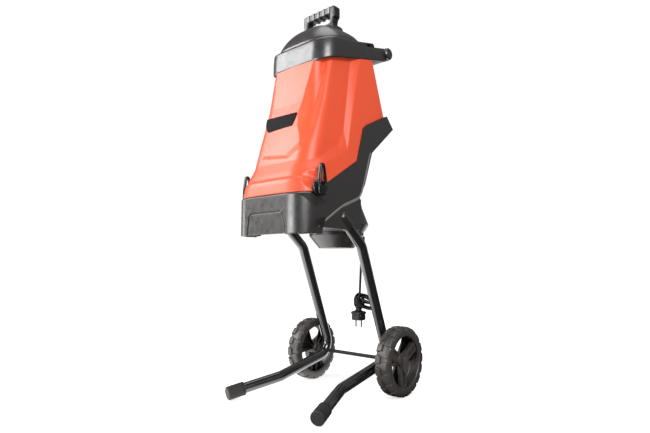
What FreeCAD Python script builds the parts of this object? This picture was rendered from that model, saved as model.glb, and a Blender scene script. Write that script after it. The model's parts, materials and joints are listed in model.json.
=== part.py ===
"""Electric garden shredder on a two-wheeled tube stand.

Frame: +X to the machine's left-hand side, -Y to the front (discharge side), +Z up.
The origin is on the floor under the middle of the machine's outline. Millimetres.
"""

import FreeCAD, Part
import math
import os
import Sketcher

Vector = FreeCAD.Vector

SIZES = {
    # walls and clearances
    "wall": 3.0,
    "seam_gap": 0.6,
    "running_gap": 0.06,
    "touch_gap": 0.05,
    # stand
    "wheel_radius": 90.0,
    "wheel_width": 44.0,
    "wheel_inner_x": 133.5,
    "axle_y": 124.0,
    "axle_radius": 5.0,
    "axle_end_x": 162.8,
    "stand_tube_x": 104.5,
    "stand_tube_radius": 13.75,
    "stand_tube_wall": 1.5,
    "stand_top_y": -56.0,
    "stand_top_z": 462.0,
    "stand_bend_y": 27.0,
    "stand_bend_z": 393.0,
    "stand_heel_y": 147.0,
    "stand_heel_z": 86.0,
    "stand_toe_y": -57.5,
    "stand_toe_z": 44.0,
    "stand_bend_radius": 40.0,
    "foot_x": 153.0,
    "foot_y": -199.0,
    "foot_radius": 17.0,
    "foot_cap_length": 45.0,
    # base housing, side outline
    "front_y": -214.0,
    "skirt_low_z": 414.0,
    "base_half": 118.0,
    "front_corner": 50.0,
    "seam_front_z": 508.0,
    "seam_corner_y": -170.0,
    "seam_corner_z": 511.0,
    "seam_waist_y": -7.0,
    "seam_waist_z": 609.0,
    "seam_knee_y": 25.0,
    "seam_knee_z": 703.0,
    "seam_shoulder_y": 42.0,
    "seam_shoulder_z": 716.0,
    "seam_rear_y": 136.0,
    "seam_rear_z": 762.0,
    "bump_y": 167.0,
    "bump_z": 730.0,
    "back_y": 62.0,
    "back_z": 643.0,
    "back_low_y": 40.0,
    "back_low_z": 584.0,
    "waist_y": 20.0,
    "waist_z": 528.0,
    "ledge_top_y": 6.0,
    "ledge_top_z": 508.0,
    "ledge_mid_y": -63.0,
    "ledge_mid_z": 484.0,
    "ledge_low_y": -172.0,
    "under_half": 115.0,
    "under_front_y": -150.0,
    "under_z": 430.0,
    "under_rear_y": 14.0,
    "ledge_chamfer": 7.0,
    "side_recess": 3.5,
    # motor housing and cutter, about one upright axis
    "rotor_y": 52.0,
    "under_top_z": 512.0,
    "pot_low_radius": 76.0,
    "pot_radius": 90.0,
    "pot_radius_z": 452.0,
    "pot_top_radius": 66.0,
    "pot_top_z": 540.0,
    "cover_low_z": 388.0,
    "cover_low_radius": 49.0,
    "chamber_radius": 67.0,
    "chamber_floor_z": 474.0,
    "chamber_top_z": 505.0,
    "pot_waist_radius": 72.0,
    "pot_waist_z": 500.0,
    "disc_radius": 63.0,
    "disc_z": 482.0,
    "disc_thick": 6.0,
    "shaft_radius": 7.0,
    "shaft_low_z": 396.0,
    "bearing_radius": 16.0,
    "bearing_width": 9.0,
    "stator_radius": 46.0,
    "stator_low_z": 412.0,
    "stator_high_z": 452.0,
    "armature_radius": 26.0,
    "fan_radius": 58.0,
    # feed chute
    "chute_half": 55.0,
    "chute_depth_half": 25.0,
    "chute_y": -12.0,
    "chute_low_y": -20.0,
    "chute_low_z": 503.0,
    "chute_bend_z": 655.0,
    "chute_top_z": 948.0,
    # hopper shell
    "hinge_y": 140.0,
    "hinge_z": 768.0,
    "hinge_pin_radius": 3.5,
    "knuckle_radius": 7.0,
    "hopper_foot_z": 556.0,
    "hopper_step_z": 592.0,
    "hopper_step_y": -183.0,
    "hopper_mid_z": 672.0,
    "hopper_mid_y": -157.0,
    "hopper_high_z": 750.0,
    "hopper_high_y": -134.0,
    "hopper_top_z": 965.0,
    "hopper_top_y": -93.0,
    "hopper_top_half": 99.0,
    "hopper_rear_y": 130.0,
    "hopper_rear_top_y": 66.0,
    # hood
    "hood_half": 109.0,
    "hood_front_y": -120.0,
    "hood_low_z": 857.0,
    "hood_rise": 77.0,
    "hood_band": 54.0,
    "hood_rear_y": 92.0,
    "arm_inner_half": 97.0,
    "dome_y": -26.0,
    "dome_z": 905.0,
    "dome_height": 80.0,
    "dome_half": 105.0,
    "dome_depth": 88.0,
    "collar_z": 986.0,
    "grip_y": 156.0,
    "grip_z": 955.0,
    "grip_radius": 17.0,
    "spigot_radius": 9.0,
    # pusher
    "pusher_low_z": 664.0,
    "pusher_half": 52.0,
    "pusher_depth_half": 22.0,
    "handle_half": 58.0,
    "handle_depth_half": 14.0,
    "handle_top_z": 1051.0,
    "handle_bar": 19.0,
    "handle_leg": 12.0,
    "lid_thick": 4.0,
    "lid_half": 64.0,
    "lid_depth_half": 31.0,
    # locking knobs
    "knob_y": -161.0,
    "knob_z": 520.0,
    "knob_radius": 19.5,
    "knob_inner_x": 119.0,
    "knob_thick": 10.0,
    "lever_reach": 58.0,
    "lever_half": 9.0,
    "lever_bar": 6.0,
    "knob_screw_radius": 4.0,
    # switch panel
    "panel_half": 60.0,
    "panel_depth": 40.0,
    "button_radius": 11.0,
    "button_x": 20.0,
    "reset_radius": 6.0,
    "reset_x": 46.0,
    # power cord and plug
    "cord_radius": 3.4,
    "cord_x": 40.0,
    "cord_y": 118.0,
    "plug_x": 35.0,
    "plug_y": 106.0,
    "plug_top_z": 214.0,
    "plug_low_z": 189.0,
    "plug_pin_radius": 2.4,
    "plug_pin_length": 19.0,
    "plug_pin_spacing": 19.0,
}

doc = FreeCAD.newDocument("garden_shredder")
pieces = []


def fill_sheet():
    """Put every driving dimension in its own aliased cell."""
    sheet = doc.addObject("Spreadsheet::Sheet", "Sizes")
    for row, (alias, value) in enumerate(SIZES.items(), start=1):
        sheet.set(f"A{row}", alias)
        sheet.set(f"B{row}", str(value))
        sheet.setAlias(f"B{row}", alias)
    doc.recompute()
    return sheet


sheet = fill_sheet()


class Length:
    """A number together with the expression that gives it from the sheet."""

    def __init__(self, value, text=None):
        self.value = float(value)
        self.text = str(value) if text is None else text

    def combined(self, other, sign, value):
        return Length(value, f"({self.text} {sign} {other.text})")

    def __add__(self, other):
        other = length(other)
        return self.combined(other, "+", self.value + other.value)

    def __sub__(self, other):
        other = length(other)
        return self.combined(other, "-", self.value - other.value)

    def __mul__(self, other):
        other = length(other)
        return self.combined(other, "*", self.value * other.value)

    def __truediv__(self, other):
        other = length(other)
        return self.combined(other, "/", self.value / other.value)

    def __rsub__(self, other):
        return length(other) - self

    def __neg__(self):
        return length(0) - self


def length(number):
    return number if isinstance(number, Length) else Length(number)


def size(alias):
    """A driving dimension, read from the sheet."""
    return Length(sheet.get(alias), f"Sizes.{alias}")


def point(prefix):
    """The (y, z) point whose two dimensions share a prefix."""
    return size(prefix + "_y"), size(prefix + "_z")


def bind(thing, attribute, number):
    """Set a property from an expression, or plainly when it is a bare number."""
    number = length(number)
    thing.setExpression(attribute, number.text)


# ---------------------------------------------------------------- orientation

AXES = {
    "XY": (Vector(1, 0, 0), Vector(0, 1, 0), Vector(0, 0, 1)),
    "YZ": (Vector(0, 1, 0), Vector(0, 0, 1), Vector(1, 0, 0)),
    "XZ": (Vector(1, 0, 0), Vector(0, 0, 1), Vector(0, -1, 0)),
}
UPRIGHT = FreeCAD.Rotation()


def facing(direction):
    """The rotation that turns +Z to a direction."""
    return FreeCAD.Rotation(Vector(0, 0, 1), Vector(*direction))


def place(thing, x=0, y=0, z=0, rotation=UPRIGHT):
    thing.Placement = FreeCAD.Placement(Vector(0, 0, 0), rotation)
    for axis, number in zip("xyz", (x, y, z)):
        bind(thing, f"Placement.Base.{axis}", number)
    return thing


def finished(thing, label):
    """Name an object as one of the machine's pieces."""
    thing.Label = label
    pieces.append(thing)
    return thing


# ---------------------------------------------------------------- sketches

def draw_polygon(sketch, points):
    """A closed polygon, each corner held at its two dimensions."""
    count = len(points)
    corners = [Vector(length(u).value, length(v).value, 0) for u, v in points]
    for index in range(count):
        sketch.addGeometry(Part.LineSegment(corners[index], corners[(index + 1) % count]), False)
    for index in range(count):
        sketch.addConstraint(Sketcher.Constraint("Coincident", index, 2, (index + 1) % count, 1))
    for index, pair in enumerate(points):
        for kind, number in zip(("DistanceX", "DistanceY"), pair):
            number = length(number)
            held = sketch.addConstraint(Sketcher.Constraint(kind, -1, 1, index, 1, number.value))
            sketch.setExpression(f"Constraints[{held}]", number.text)


def draw_rounded_plan(sketch, half, front, rear, corner):
    """A plan outline with two rounded front corners and a square rear."""
    h, f, r, c = (length(n).value for n in (half, front, rear, corner))
    quarter = math.pi / 2
    lines = [
        ((h, r), (h, f + c)),
        ((h - c, f), (c - h, f)),
        ((-h, f + c), (-h, r)),
        ((-h, r), (h, r)),
    ]
    for start, end in lines:
        sketch.addGeometry(Part.LineSegment(Vector(*start, 0), Vector(*end, 0)), False)
    for centre_x, first in ((h - c, 3 * quarter), (c - h, 2 * quarter)):
        circle = Part.Circle(Vector(centre_x, f + c, 0), Vector(0, 0, 1), c)
        sketch.addGeometry(Part.ArcOfCircle(circle, first, first + quarter), False)
    joins = [(0, 2, 4, 2), (4, 1, 1, 1), (1, 2, 5, 2), (5, 1, 2, 1)]
    for join in joins:
        sketch.addConstraint(Sketcher.Constraint("Tangent", *join))
    for join in ((2, 2, 3, 1), (3, 2, 0, 1)):
        sketch.addConstraint(Sketcher.Constraint("Coincident", *join))
    for line in (0, 2):
        sketch.addConstraint(Sketcher.Constraint("Vertical", line))
    for line in (1, 3):
        sketch.addConstraint(Sketcher.Constraint("Horizontal", line))
    held = [
        ("DistanceX", (-1, 1, 0, 1), half),
        ("DistanceX", (-1, 1, 2, 1), -length(half)),
        ("DistanceY", (-1, 1, 1, 1), front),
        ("DistanceY", (-1, 1, 0, 1), rear),
        ("Radius", (4,), corner),
        ("Radius", (5,), corner),
    ]
    for kind, where, number in held:
        number = length(number)
        index = sketch.addConstraint(Sketcher.Constraint(kind, *where, number.value))
        sketch.setExpression(f"Constraints[{index}]", number.text)


def free_sketch(name, plane):
    sketch = doc.addObject("Sketcher::SketchObject", name)
    sketch.Placement = FreeCAD.Placement(Vector(0, 0, 0), FreeCAD.Rotation(*AXES[plane], "ZXY"))
    return sketch


def body_sketch(body, name, role):
    sketch = body.newObject("Sketcher::SketchObject", name)
    plane = [item for item in body.Origin.OriginFeatures if item.Role == role][0]
    sketch.AttachmentSupport = [(plane, "")]
    sketch.MapMode = "FlatFace"
    return sketch


# ---------------------------------------------------------------- solids

def extrusion(name, sketch, depth, symmetric=True):
    solid = doc.addObject("Part::Extrusion", name)
    solid.Base = sketch
    solid.DirMode = "Normal"
    solid.Solid = True
    solid.Symmetric = symmetric
    bind(solid, "LengthFwd", depth)
    return solid


def side_slab(name, points, width):
    """A side outline in Y and Z, extruded across the machine."""
    sketch = free_sketch(name + "_outline", "YZ")
    draw_polygon(sketch, points)
    return extrusion(name, sketch, width)


def plan_block(name, half, front, rear, corner, low, high):
    """A plan outline with rounded front corners, extruded upwards."""
    sketch = free_sketch(name + "_plan", "XY")
    draw_rounded_plan(sketch, half, front, rear, corner)
    bind(sketch, "Placement.Base.z", low)
    return extrusion(name, sketch, length(high) - low, symmetric=False)


def plan_loft(name, sections):
    """A solid through plan outlines at several heights."""
    sketches = []
    for index, (height, half, front, rear, corner) in enumerate(sections):
        sketch = free_sketch(f"{name}_plan{index}", "XY")
        draw_rounded_plan(sketch, half, front, rear, corner)
        bind(sketch, "Placement.Base.z", height)
        sketches.append(sketch)
    return ruled_loft(name, sketches)


def ruled_loft(name, sketches):
    loft = doc.addObject("Part::Loft", name)
    loft.Sections = sketches
    loft.Solid = True
    loft.Ruled = True
    return loft


def box(name, low, high):
    """A box between two corners."""
    solid = doc.addObject("Part::Box", name)
    for side, start, end in zip(("Length", "Width", "Height"), low, high):
        bind(solid, side, length(end) - start)
    return place(solid, *low)


def round_bar(name, radius, span, x=0, y=0, z=0, rotation=UPRIGHT):
    """A cylinder that starts at a point and runs along its rotated +Z."""
    solid = doc.addObject("Part::Cylinder", name)
    bind(solid, "Radius", radius)
    bind(solid, "Height", span)
    return place(solid, x, y, z, rotation)


def across(name, radius, half, y, z):
    """A cylinder along X, centred on the machine's middle plane."""
    half = length(half)
    return round_bar(name, radius, half * 2, -half, y, z, facing((1, 0, 0)))


def turned(name, profile, x=0, y=0, z=0, rotation=UPRIGHT):
    """A body turned about its own Z from (radius, height) points."""
    body = doc.addObject("PartDesign::Body", name)
    sketch = body_sketch(body, name + "_profile", "XZ_Plane")
    draw_polygon(sketch, profile)
    turn = body.newObject("PartDesign::Revolution", name + "_turn")
    turn.Profile = sketch
    turn.ReferenceAxis = (sketch, ["V_Axis"])
    turn.Angle = 360
    return place(body, x, y, z, rotation)


def ring_profile(inner, outer, low, high):
    return [(inner, low), (outer, low), (outer, high), (inner, high)]


def boolean(kind, name, base, tool):
    result = doc.addObject(f"Part::{kind}", name)
    result.Base = base
    result.Tool = tool
    return result


def cut(name, base, *tools):
    tool = tools[0] if len(tools) == 1 else fuse(name + "_tools", *tools)
    return boolean("Cut", name, base, tool)


def common(name, base, tool):
    return boolean("Common", name, base, tool)


def fuse(name, *shapes):
    result = doc.addObject("Part::MultiFuse", name)
    result.Shapes = list(shapes)
    return result


def group(name, *solids):
    """Identical pieces that share one node, kept as separate solids."""
    result = doc.addObject("Part::Compound", name)
    result.Links = list(solids)
    return result


SIDES = (("left", 1), ("right", -1))


# ---------------------------------------------------------------- stand

def bent_path(corners, radius):
    """A wire through corners, each inner one rounded to the bend radius."""
    edges = []
    start = corners[0]
    for before, corner, after in zip(corners, corners[1:], corners[2:]):
        inward = (before - corner).normalize()
        outward = (after - corner).normalize()
        half_angle = inward.getAngle(outward) / 2
        tangent = radius / math.tan(half_angle)
        first = corner + inward * tangent
        last = corner + outward * tangent
        bisector = (inward + outward).normalize()
        middle = corner + bisector * (radius / math.sin(half_angle) - radius)
        edges.append(Part.LineSegment(start, first).toShape())
        edges.append(Part.Arc(first, middle, last).toShape())
        start = last
    edges.append(Part.LineSegment(start, corners[-1]).toShape())
    return Part.Wire(edges)


def pipe(path, radius):
    """A solid round bar along a wire."""
    start = path.Edges[0]
    origin = start.valueAt(start.FirstParameter)
    direction = start.tangentAt(start.FirstParameter)
    profile = Part.Wire([Part.makeCircle(radius, origin, direction)])
    return path.makePipeShell([profile], True, False)


def foot_direction(side):
    """The way the splayed foot of the stand points, from toe bend to cap."""
    toe = Vector(side * sheet.stand_tube_x, sheet.stand_toe_y, sheet.stand_toe_z)
    foot = Vector(side * sheet.foot_x, sheet.foot_y, sheet.foot_radius)
    return (foot - toe).normalize()


def stand_tube(name, side):
    """One bent stand tube, drilled for the axle."""
    x = side * sheet.stand_tube_x
    foot = Vector(side * sheet.foot_x, sheet.foot_y, sheet.foot_radius)
    cap_wall = 5.0
    corners = [
        Vector(x, sheet.stand_top_y, sheet.stand_top_z),
        Vector(x, sheet.stand_bend_y, sheet.stand_bend_z),
        Vector(x, sheet.stand_heel_y, sheet.stand_heel_z),
        Vector(x, sheet.stand_toe_y, sheet.stand_toe_z),
        foot - foot_direction(side) * cap_wall,
    ]
    path = bent_path(corners, sheet.stand_bend_radius)
    outer = pipe(path, sheet.stand_tube_radius)
    inner = pipe(path, sheet.stand_tube_radius - sheet.stand_tube_wall)
    reach = 2 * sheet.stand_tube_radius
    drill_start = Vector(x - reach, sheet.axle_y, sheet.wheel_radius)
    drill_radius = sheet.axle_radius + sheet.touch_gap
    drill = Part.makeCylinder(drill_radius, 2 * reach, drill_start, Vector(1, 0, 0))
    tube = doc.addObject("Part::Feature", name)
    tube.Shape = outer.cut(inner).cut(drill)
    tube.Placement = FreeCAD.Placement()
    return finished(tube, name)


def foot_cap(name, side):
    """A rubber cap pushed over the stand tube's foot."""
    radius = size("foot_radius")
    bore = size("stand_tube_radius") + size("touch_gap")
    long = size("foot_cap_length")
    end_wall = 4.5
    profile = [
        (0, 0), (radius - 2, 0), (radius, 2), (radius, long - 6), (radius - 1.5, long - 6),
        (radius - 1.5, long - 4), (radius, long - 4), (radius, long), (bore, long),
        (bore, end_wall), (0, end_wall),
    ]
    away = foot_direction(side)
    cap = turned(
        name, profile, size("foot_x") * side, size("foot_y"), radius, facing(tuple(-away)),
    )
    return finished(cap, name)


def axle():
    bar = across("axle_bar", size("axle_radius"), size("axle_end_x"), size("axle_y"), size("wheel_radius"))
    return finished(bar, "axle")


def axle_ring(name, side, profile, x):
    """A ring on the axle, its profile measured outwards from x."""
    return turned(
        name, profile, length(x) * side, size("axle_y"), size("wheel_radius"), facing((side, 0, 0)),
    )


def axle_spacers():
    start = size("stand_tube_x") + size("stand_tube_radius") + 0.3
    bore = size("axle_radius") + size("touch_gap")
    span = size("wheel_inner_x") - start - 2.6
    profile = ring_profile(bore, 9, 0, span)
    rings = [axle_ring("spacer_" + word, side, profile, start) for word, side in SIDES]
    return finished(group("spacers", *rings), "axle_spacers")


HUB_REACH = 22.0


def axle_retainers():
    """Push-on steel caps that hold the wheels on the axle."""
    start = size("wheel_inner_x") + HUB_REACH + 0.4
    bore = size("axle_radius") + size("touch_gap")
    profile = ring_profile(bore, 9, 0, 3)
    rings = [axle_ring("retainer_" + word, side, profile, start) for word, side in SIDES]
    return finished(group("retainers", *rings), "axle_retainers")


LUG_COUNT = 18
LUG_HALF = 10.0
LUG_LONG = 22.0
LUG_ROW_SHIFT = 20.0


def lug_outline(low, high, angle):
    """One tread lug's outline from its root to its face, turned about the wheel's axis."""
    flat = [
        (low, -LUG_HALF), (high - 1.5, -LUG_HALF), (high, -LUG_HALF + 3),
        (high, LUG_HALF - 3), (high - 1.5, LUG_HALF), (low, LUG_HALF),
    ]
    across_x, across_y = math.cos(angle), math.sin(angle)
    return [
        (length(out) * across_x - length(along) * across_y, length(out) * across_y + length(along) * across_x)
        for out, along in flat
    ]


def wheel(name, side):
    """A one-piece moulded wheel: lugged tread ring, three spokes and a hub."""
    radius = size("wheel_radius")
    width = size("wheel_width")
    tread = radius - 5
    opening = radius - 22
    body = doc.addObject("PartDesign::Body", name)
    ring = body_sketch(body, name + "_ring", "XZ_Plane")
    draw_polygon(ring, [
        (opening, 3), (opening + 8, 0), (tread - 3, 0), (tread, 3), (tread, width - 3),
        (tread - 3, width), (opening + 8, width), (opening, width - 3),
        (opening, width - 14), (opening + 6, width - 14), (opening + 6, 14), (opening, 14),
    ])
    hub = body_sketch(body, name + "_hub", "XZ_Plane")
    bore = size("axle_radius") + size("running_gap")
    draw_polygon(hub, ring_profile(bore, 17, -2, HUB_REACH))
    web = body_sketch(body, name + "_web", "XZ_Plane")
    draw_polygon(web, ring_profile(16, opening + 7, 9, 13))
    for sketch in (ring, web, hub):
        turn = body.newObject("PartDesign::Revolution", sketch.Name + "_turn")
        turn.Profile = sketch
        turn.ReferenceAxis = (sketch, ["V_Axis"])
        turn.Angle = 360
    window = body_sketch(body, name + "_window", "XY_Plane")
    near = 24
    draw_polygon(window, [
        (near, -20), (opening - 18, -42), (opening - 4, -20), (opening - 1, 0), (opening - 4, 20),
        (opening - 18, 42), (near, 20),
    ])
    pocket = body.newObject("PartDesign::Pocket", name + "_windows")
    pocket.Profile = window
    pocket.Type = "ThroughAll"
    pocket.Midplane = True
    axis = [item for item in body.Origin.OriginFeatures if item.Role == "Z_Axis"][0]
    doc.recompute()
    windows = body.newObject("PartDesign::PolarPattern", name + "_window_pattern")
    windows.Originals = [pocket]
    windows.Axis = (axis, [""])
    windows.Occurrences = 3
    body.Tip = windows
    doc.recompute()
    for row in range(2):
        lug = body_sketch(body, f"{name}_lug_{row}", "XY_Plane")
        draw_polygon(lug, lug_outline(tread - 4, radius, row * math.pi / LUG_COUNT))
        lug.AttachmentOffset = FreeCAD.Placement()
        bind(lug, "AttachmentOffset.Base.z", (1 + row * LUG_ROW_SHIFT))
        block = body.newObject("PartDesign::Pad", f"{name}_lug_block_{row}")
        block.Profile = lug
        bind(block, "Length", LUG_LONG)
        doc.recompute()
        lugs = body.newObject("PartDesign::PolarPattern", f"{name}_lug_pattern_{row}")
        lugs.Originals = [block]
        lugs.Axis = (axis, [""])
        lugs.Occurrences = LUG_COUNT
        body.Tip = lugs
    place(body, size("wheel_inner_x") * side, size("axle_y"), radius, facing((side, 0, 0)))
    return finished(body, name)


def hub_cap(name, side):
    """The oblong cap clipped over the wheel's hub."""
    body = turned(
        name,
        [(0, 8.5), (9.6, 8.5), (9.6, 0), (16, 0), (17, 2), (17, 9), (14, 13), (0, 13)],
        (size("wheel_inner_x") + HUB_REACH + 0.2) * side, size("axle_y"), size("wheel_radius"),
        facing((side, 0, 0)),
    )
    return finished(body, name)


# ---------------------------------------------------------------- base housing

def seam_points():
    """The parting line between base and hopper, from front to rear."""
    front = (size("front_y"), size("seam_front_z"))
    names = ("seam_corner", "seam_waist", "seam_knee", "seam_shoulder", "seam_rear")
    return [front] + [point(name) for name in names]


def base_outside():
    """The outer form: upper wedge, lower channel block and round motor pot."""
    outline = [(size("front_y"), size("skirt_low_z"))] + seam_points() + [
        point("bump"), point("back"), point("back_low"), point("waist"), point("ledge_top"),
        point("ledge_mid"), (size("ledge_low_y"), size("skirt_low_z")),
    ]
    half = size("base_half")
    slab = side_slab("base_wedge_slab", outline, half * 2)
    block = plan_block(
        "base_wedge_block", half, size("front_y"), size("bump_y") + 5, size("front_corner"),
        size("skirt_low_z"), size("seam_rear_z") + 5,
    )
    blank = common("base_wedge_blank", block, slab)
    recesses = [side_recess(word, side) for word, side in SIDES]
    wedge = cut("base_wedge", ledge_chamfered(blank), *recesses)
    under = side_slab("base_under", [
        (size("ledge_low_y"), size("skirt_low_z")), (size("under_front_y"), size("under_z")),
        (size("under_rear_y"), size("under_z")), (size("under_rear_y"), size("under_top_z")),
        point("ledge_top"),
        (size("ledge_mid_y"), size("ledge_mid_z") + 2), (size("ledge_low_y"), size("skirt_low_z") + 2),
    ], size("under_half") * 2)
    pot = turned("base_pot", [
        (0, size("under_z")), (size("pot_low_radius"), size("under_z")),
        (size("pot_radius"), size("pot_radius_z")), (size("pot_waist_radius"), size("pot_waist_z")),
        (size("pot_top_radius"), size("pot_top_z") - 8), (size("pot_top_radius") - 6, size("pot_top_z")),
        (0, size("pot_top_z")),
    ], 0, size("rotor_y"), 0)
    sockets = [tube_socket(word, side) for word, side in SIDES]
    return fuse("base_outside", wedge, under, pot, *sockets)


def ledge_chamfered(blank):
    """The wedge with its lower side edges cut back at 45 degrees."""
    doc.recompute()
    ledge_low = (size("ledge_low_y"), size("skirt_low_z"))
    ledge = [point("waist"), point("ledge_top"), point("ledge_mid"), ledge_low]
    middles = []
    for (y0, z0), (y1, z1) in zip(ledge, ledge[1:]):
        middles.append(((y0.value + y1.value) / 2, (z0.value + z1.value) / 2))
    depth = sheet.ledge_chamfer
    chosen = []
    for index, edge in enumerate(blank.Shape.Edges, start=1):
        centre = edge.CenterOfMass
        on_side = abs(abs(centre.x) - sheet.base_half) < 0.1
        if on_side and any(math.hypot(centre.y - y, centre.z - z) < 3 for y, z in middles):
            chosen.append((index, depth, depth))
    chamfer = doc.addObject("Part::Chamfer", "base_ledge_chamfer")
    chamfer.Base = blank
    chamfer.Edges = chosen
    return chamfer


def side_recess(word, side):
    """The shallow set-back of a side wall behind its front crease, fading out rearwards."""
    fade_y = 60.0
    run = fade_y - sheet.seam_corner_y
    lean = math.degrees(math.atan(sheet.side_recess / run))
    thick = 20.0
    slab = side_slab("side_recess_" + word, [
        (-192, 513), (-132, 474), (-142, 425), (fade_y, 425), (fade_y, 700), (-192, 700),
    ], thick)
    turn = FreeCAD.Rotation(Vector(0, 0, 1), side * lean)
    shift = turn.multVec(Vector(0, -fade_y, 0))
    base = (size("base_half") + thick / 2) * side
    return place(slab, base + shift.x, fade_y + shift.y, 0, turn)


def socket_bar(name, side, radius, before, after):
    """A cylinder on the axis of the stand tube's upper end."""
    top = Vector(0, sheet.stand_top_y, sheet.stand_top_z)
    bend = Vector(0, sheet.stand_bend_y, sheet.stand_bend_z)
    down = (bend - top).normalize()
    start = top - down * before
    return round_bar(
        name, radius, before + after, size("stand_tube_x") * side, start.y, start.z, facing(tuple(down)),
    )


SOCKET_DEPTH = 34.0


def tube_socket(word, side):
    return socket_bar("socket_" + word, side, size("stand_tube_radius") + 3.5, -10.0, SOCKET_DEPTH)


def base_hollow():
    """The space inside: open to the hopper above and to the mouth below."""
    wall = size("wall")
    half = size("base_half") - wall * 2
    front = size("front_y") + wall
    high = size("seam_rear_z") + 40
    knee_y = size("seam_knee_y")
    ledge_y = size("ledge_low_y") - 2
    low = size("skirt_low_z") - 20
    main = side_slab("base_main_outline", [
        (front, low), (front, high), (knee_y + 5, high), (knee_y + 5, size("seam_knee_z")),
        (knee_y + 11, size("seam_waist_z") + 10), (size("back_low_y") - 10, size("back_low_z")),
        (size("waist_y") - wall, size("waist_z") + 2),
        (size("ledge_top_y") - 1, size("ledge_top_z") + wall + 1),
        (size("ledge_mid_y"), size("ledge_mid_z") + wall + 1),
        (ledge_y, size("skirt_low_z") + wall), (ledge_y, low),
    ], half * 2)
    block = plan_block(
        "base_main_block", half, front, size("bump_y"), size("front_corner") - wall, low, high,
    )
    main = common("base_main_hollow", block, main)
    rear = side_slab("base_rear_hollow", [
        (knee_y + 9, size("seam_knee_z") - 4),
        (size("seam_shoulder_y") + 2, size("seam_shoulder_z") - 4),
        (size("seam_rear_y") + 2, size("seam_rear_z") - 4), (size("bump_y") - 5, size("bump_z") - 1),
        (size("back_y") - 2, size("back_z") + 5), (size("back_low_y") + 1, size("back_low_z") + 16),
        (knee_y + 15, size("seam_waist_z") + 12),
    ], half * 2)
    return [main, rear, panel_opening()]


def base_channel():
    """The chip channel below the feed opening, and the motor's own space."""
    wall = size("wall")
    front = size("ledge_low_y") - 10
    channel = side_slab("chip_channel", [
        (front, size("skirt_low_z") - 10), (size("under_front_y") - 3, size("skirt_low_z") - 10),
        (size("under_front_y"), size("under_z") + wall), (size("ledge_mid_y"), size("under_z") + 12),
        (-25, size("chamber_floor_z") - 6), (size("ledge_top_y") - 2, size("chamber_floor_z")),
        (size("ledge_top_y") - 2, size("under_top_z") - 6), (size("ledge_top_y") - 2, size("waist_z") + 2),
        (size("ledge_mid_y"), size("ledge_mid_z") + 40), (front, size("skirt_low_z") + 40),
    ], size("chute_half") * 2 + 24)
    chamber = round_bar(
        "chamber_space", size("chamber_radius"), size("chamber_top_z") - size("chamber_floor_z"),
        0, size("rotor_y"), size("chamber_floor_z"),
    )
    attic_low = size("chamber_top_z") + wall + 1
    attic = round_bar(
        "pot_attic", size("pot_top_radius") - wall - 2, size("pot_top_z") - 7 - attic_low,
        0, size("rotor_y"), attic_low,
    )
    slot_half = size("chute_half") + wall + 0.5
    slot_deep = size("chute_depth_half") + wall + 0.5
    slot = box(
        "chute_slot", (-slot_half, size("chute_low_y") - slot_deep, size("chute_low_z") - 4),
        (slot_half, size("chute_low_y") + slot_deep + 1, size("waist_z") + 2),
    )
    motor = turned("motor_space", [
        (0, size("under_z") - 5), (size("pot_low_radius") - 7, size("under_z") - 5),
        (size("pot_low_radius") - 7, size("under_z")), (size("pot_radius") - 14, size("pot_radius_z")),
        (size("pot_radius") - 16, size("chamber_floor_z") - 16), (0, size("chamber_floor_z") - 16),
    ], 0, size("rotor_y"), 0)
    neck = round_bar(
        "motor_neck", size("bearing_radius") + 2, 30, 0, size("rotor_y"), size("chamber_floor_z") - 20,
    )
    return [channel, chamber, attic, slot, motor, neck]


def panel_frame():
    """Centre, slope direction and outward normal of the switch panel's face."""
    top = Vector(0, sheet.seam_rear_y, sheet.seam_rear_z)
    low = Vector(0, sheet.bump_y, sheet.bump_z)
    along = (low - top).normalize()
    normal = Vector(1, 0, 0).cross(along)
    return (top + low) / 2, along, normal


def on_panel(thing, x, depth, slope=0.0):
    """Place a solid on the panel, its +Z along the panel's outward normal."""
    centre, along, normal = panel_frame()
    spot = centre + along * slope + normal * depth
    return place(thing, x, spot.y, spot.z, facing(tuple(normal)))


def panel_box(name, x_low, x_high, slope_low, slope_high, low, high):
    """A box lying on the switch panel's slope."""
    solid = doc.addObject("Part::Box", name)
    bind(solid, "Length", length(x_high) - x_low)
    bind(solid, "Width", length(slope_high) - slope_low)
    bind(solid, "Height", high - low)
    centre, along, normal = panel_frame()
    spot = centre + along * length(slope_low).value + normal * low
    rotation = FreeCAD.Rotation(Vector(1, 0, 0), along, normal, "ZXY")
    return place(solid, x_low, spot.y, spot.z, rotation)


def panel_opening():
    half = size("panel_half") - 6
    depth = size("panel_depth") / 2 - 5
    return panel_box("panel_opening", -half, half, -depth, depth, -14.0, 6.0)


def hinge_x(low, high, name, radius):
    """A short knuckle along X at the hopper's hinge."""
    return round_bar(
        name, radius, high - low, low, size("hinge_y"), size("hinge_z"), facing((1, 0, 0)),
    )


def hinge_hole(tag):
    """The bore for the hinge rod, right across the machine."""
    radius = size("hinge_pin_radius") + size("running_gap")
    return across("hinge_bore_" + tag, radius, 120, size("hinge_y"), size("hinge_z"))


EAR_WIDTH = 8.0


def hinge_ears():
    """Four ears on the base that hold the hinge rod."""
    ears = []
    for index, low in enumerate((-90.0, -70.0, 62.0, 82.0)):
        knuckle = hinge_x(low, low + EAR_WIDTH, f"ear_round_{index}", size("knuckle_radius"))
        root = side_slab(f"ear_root_{index}", [
            (size("hinge_y") - 1, size("hinge_z") - size("knuckle_radius") + 1),
            (size("hinge_y") + size("knuckle_radius") - 0.5, size("hinge_z")),
            (size("hinge_y") + 18, size("seam_rear_z") - 18), (size("hinge_y") + 1, size("seam_rear_z") - 6),
        ], EAR_WIDTH)
        ears += [knuckle, place(root, low + EAR_WIDTH / 2)]
    return ears


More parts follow.
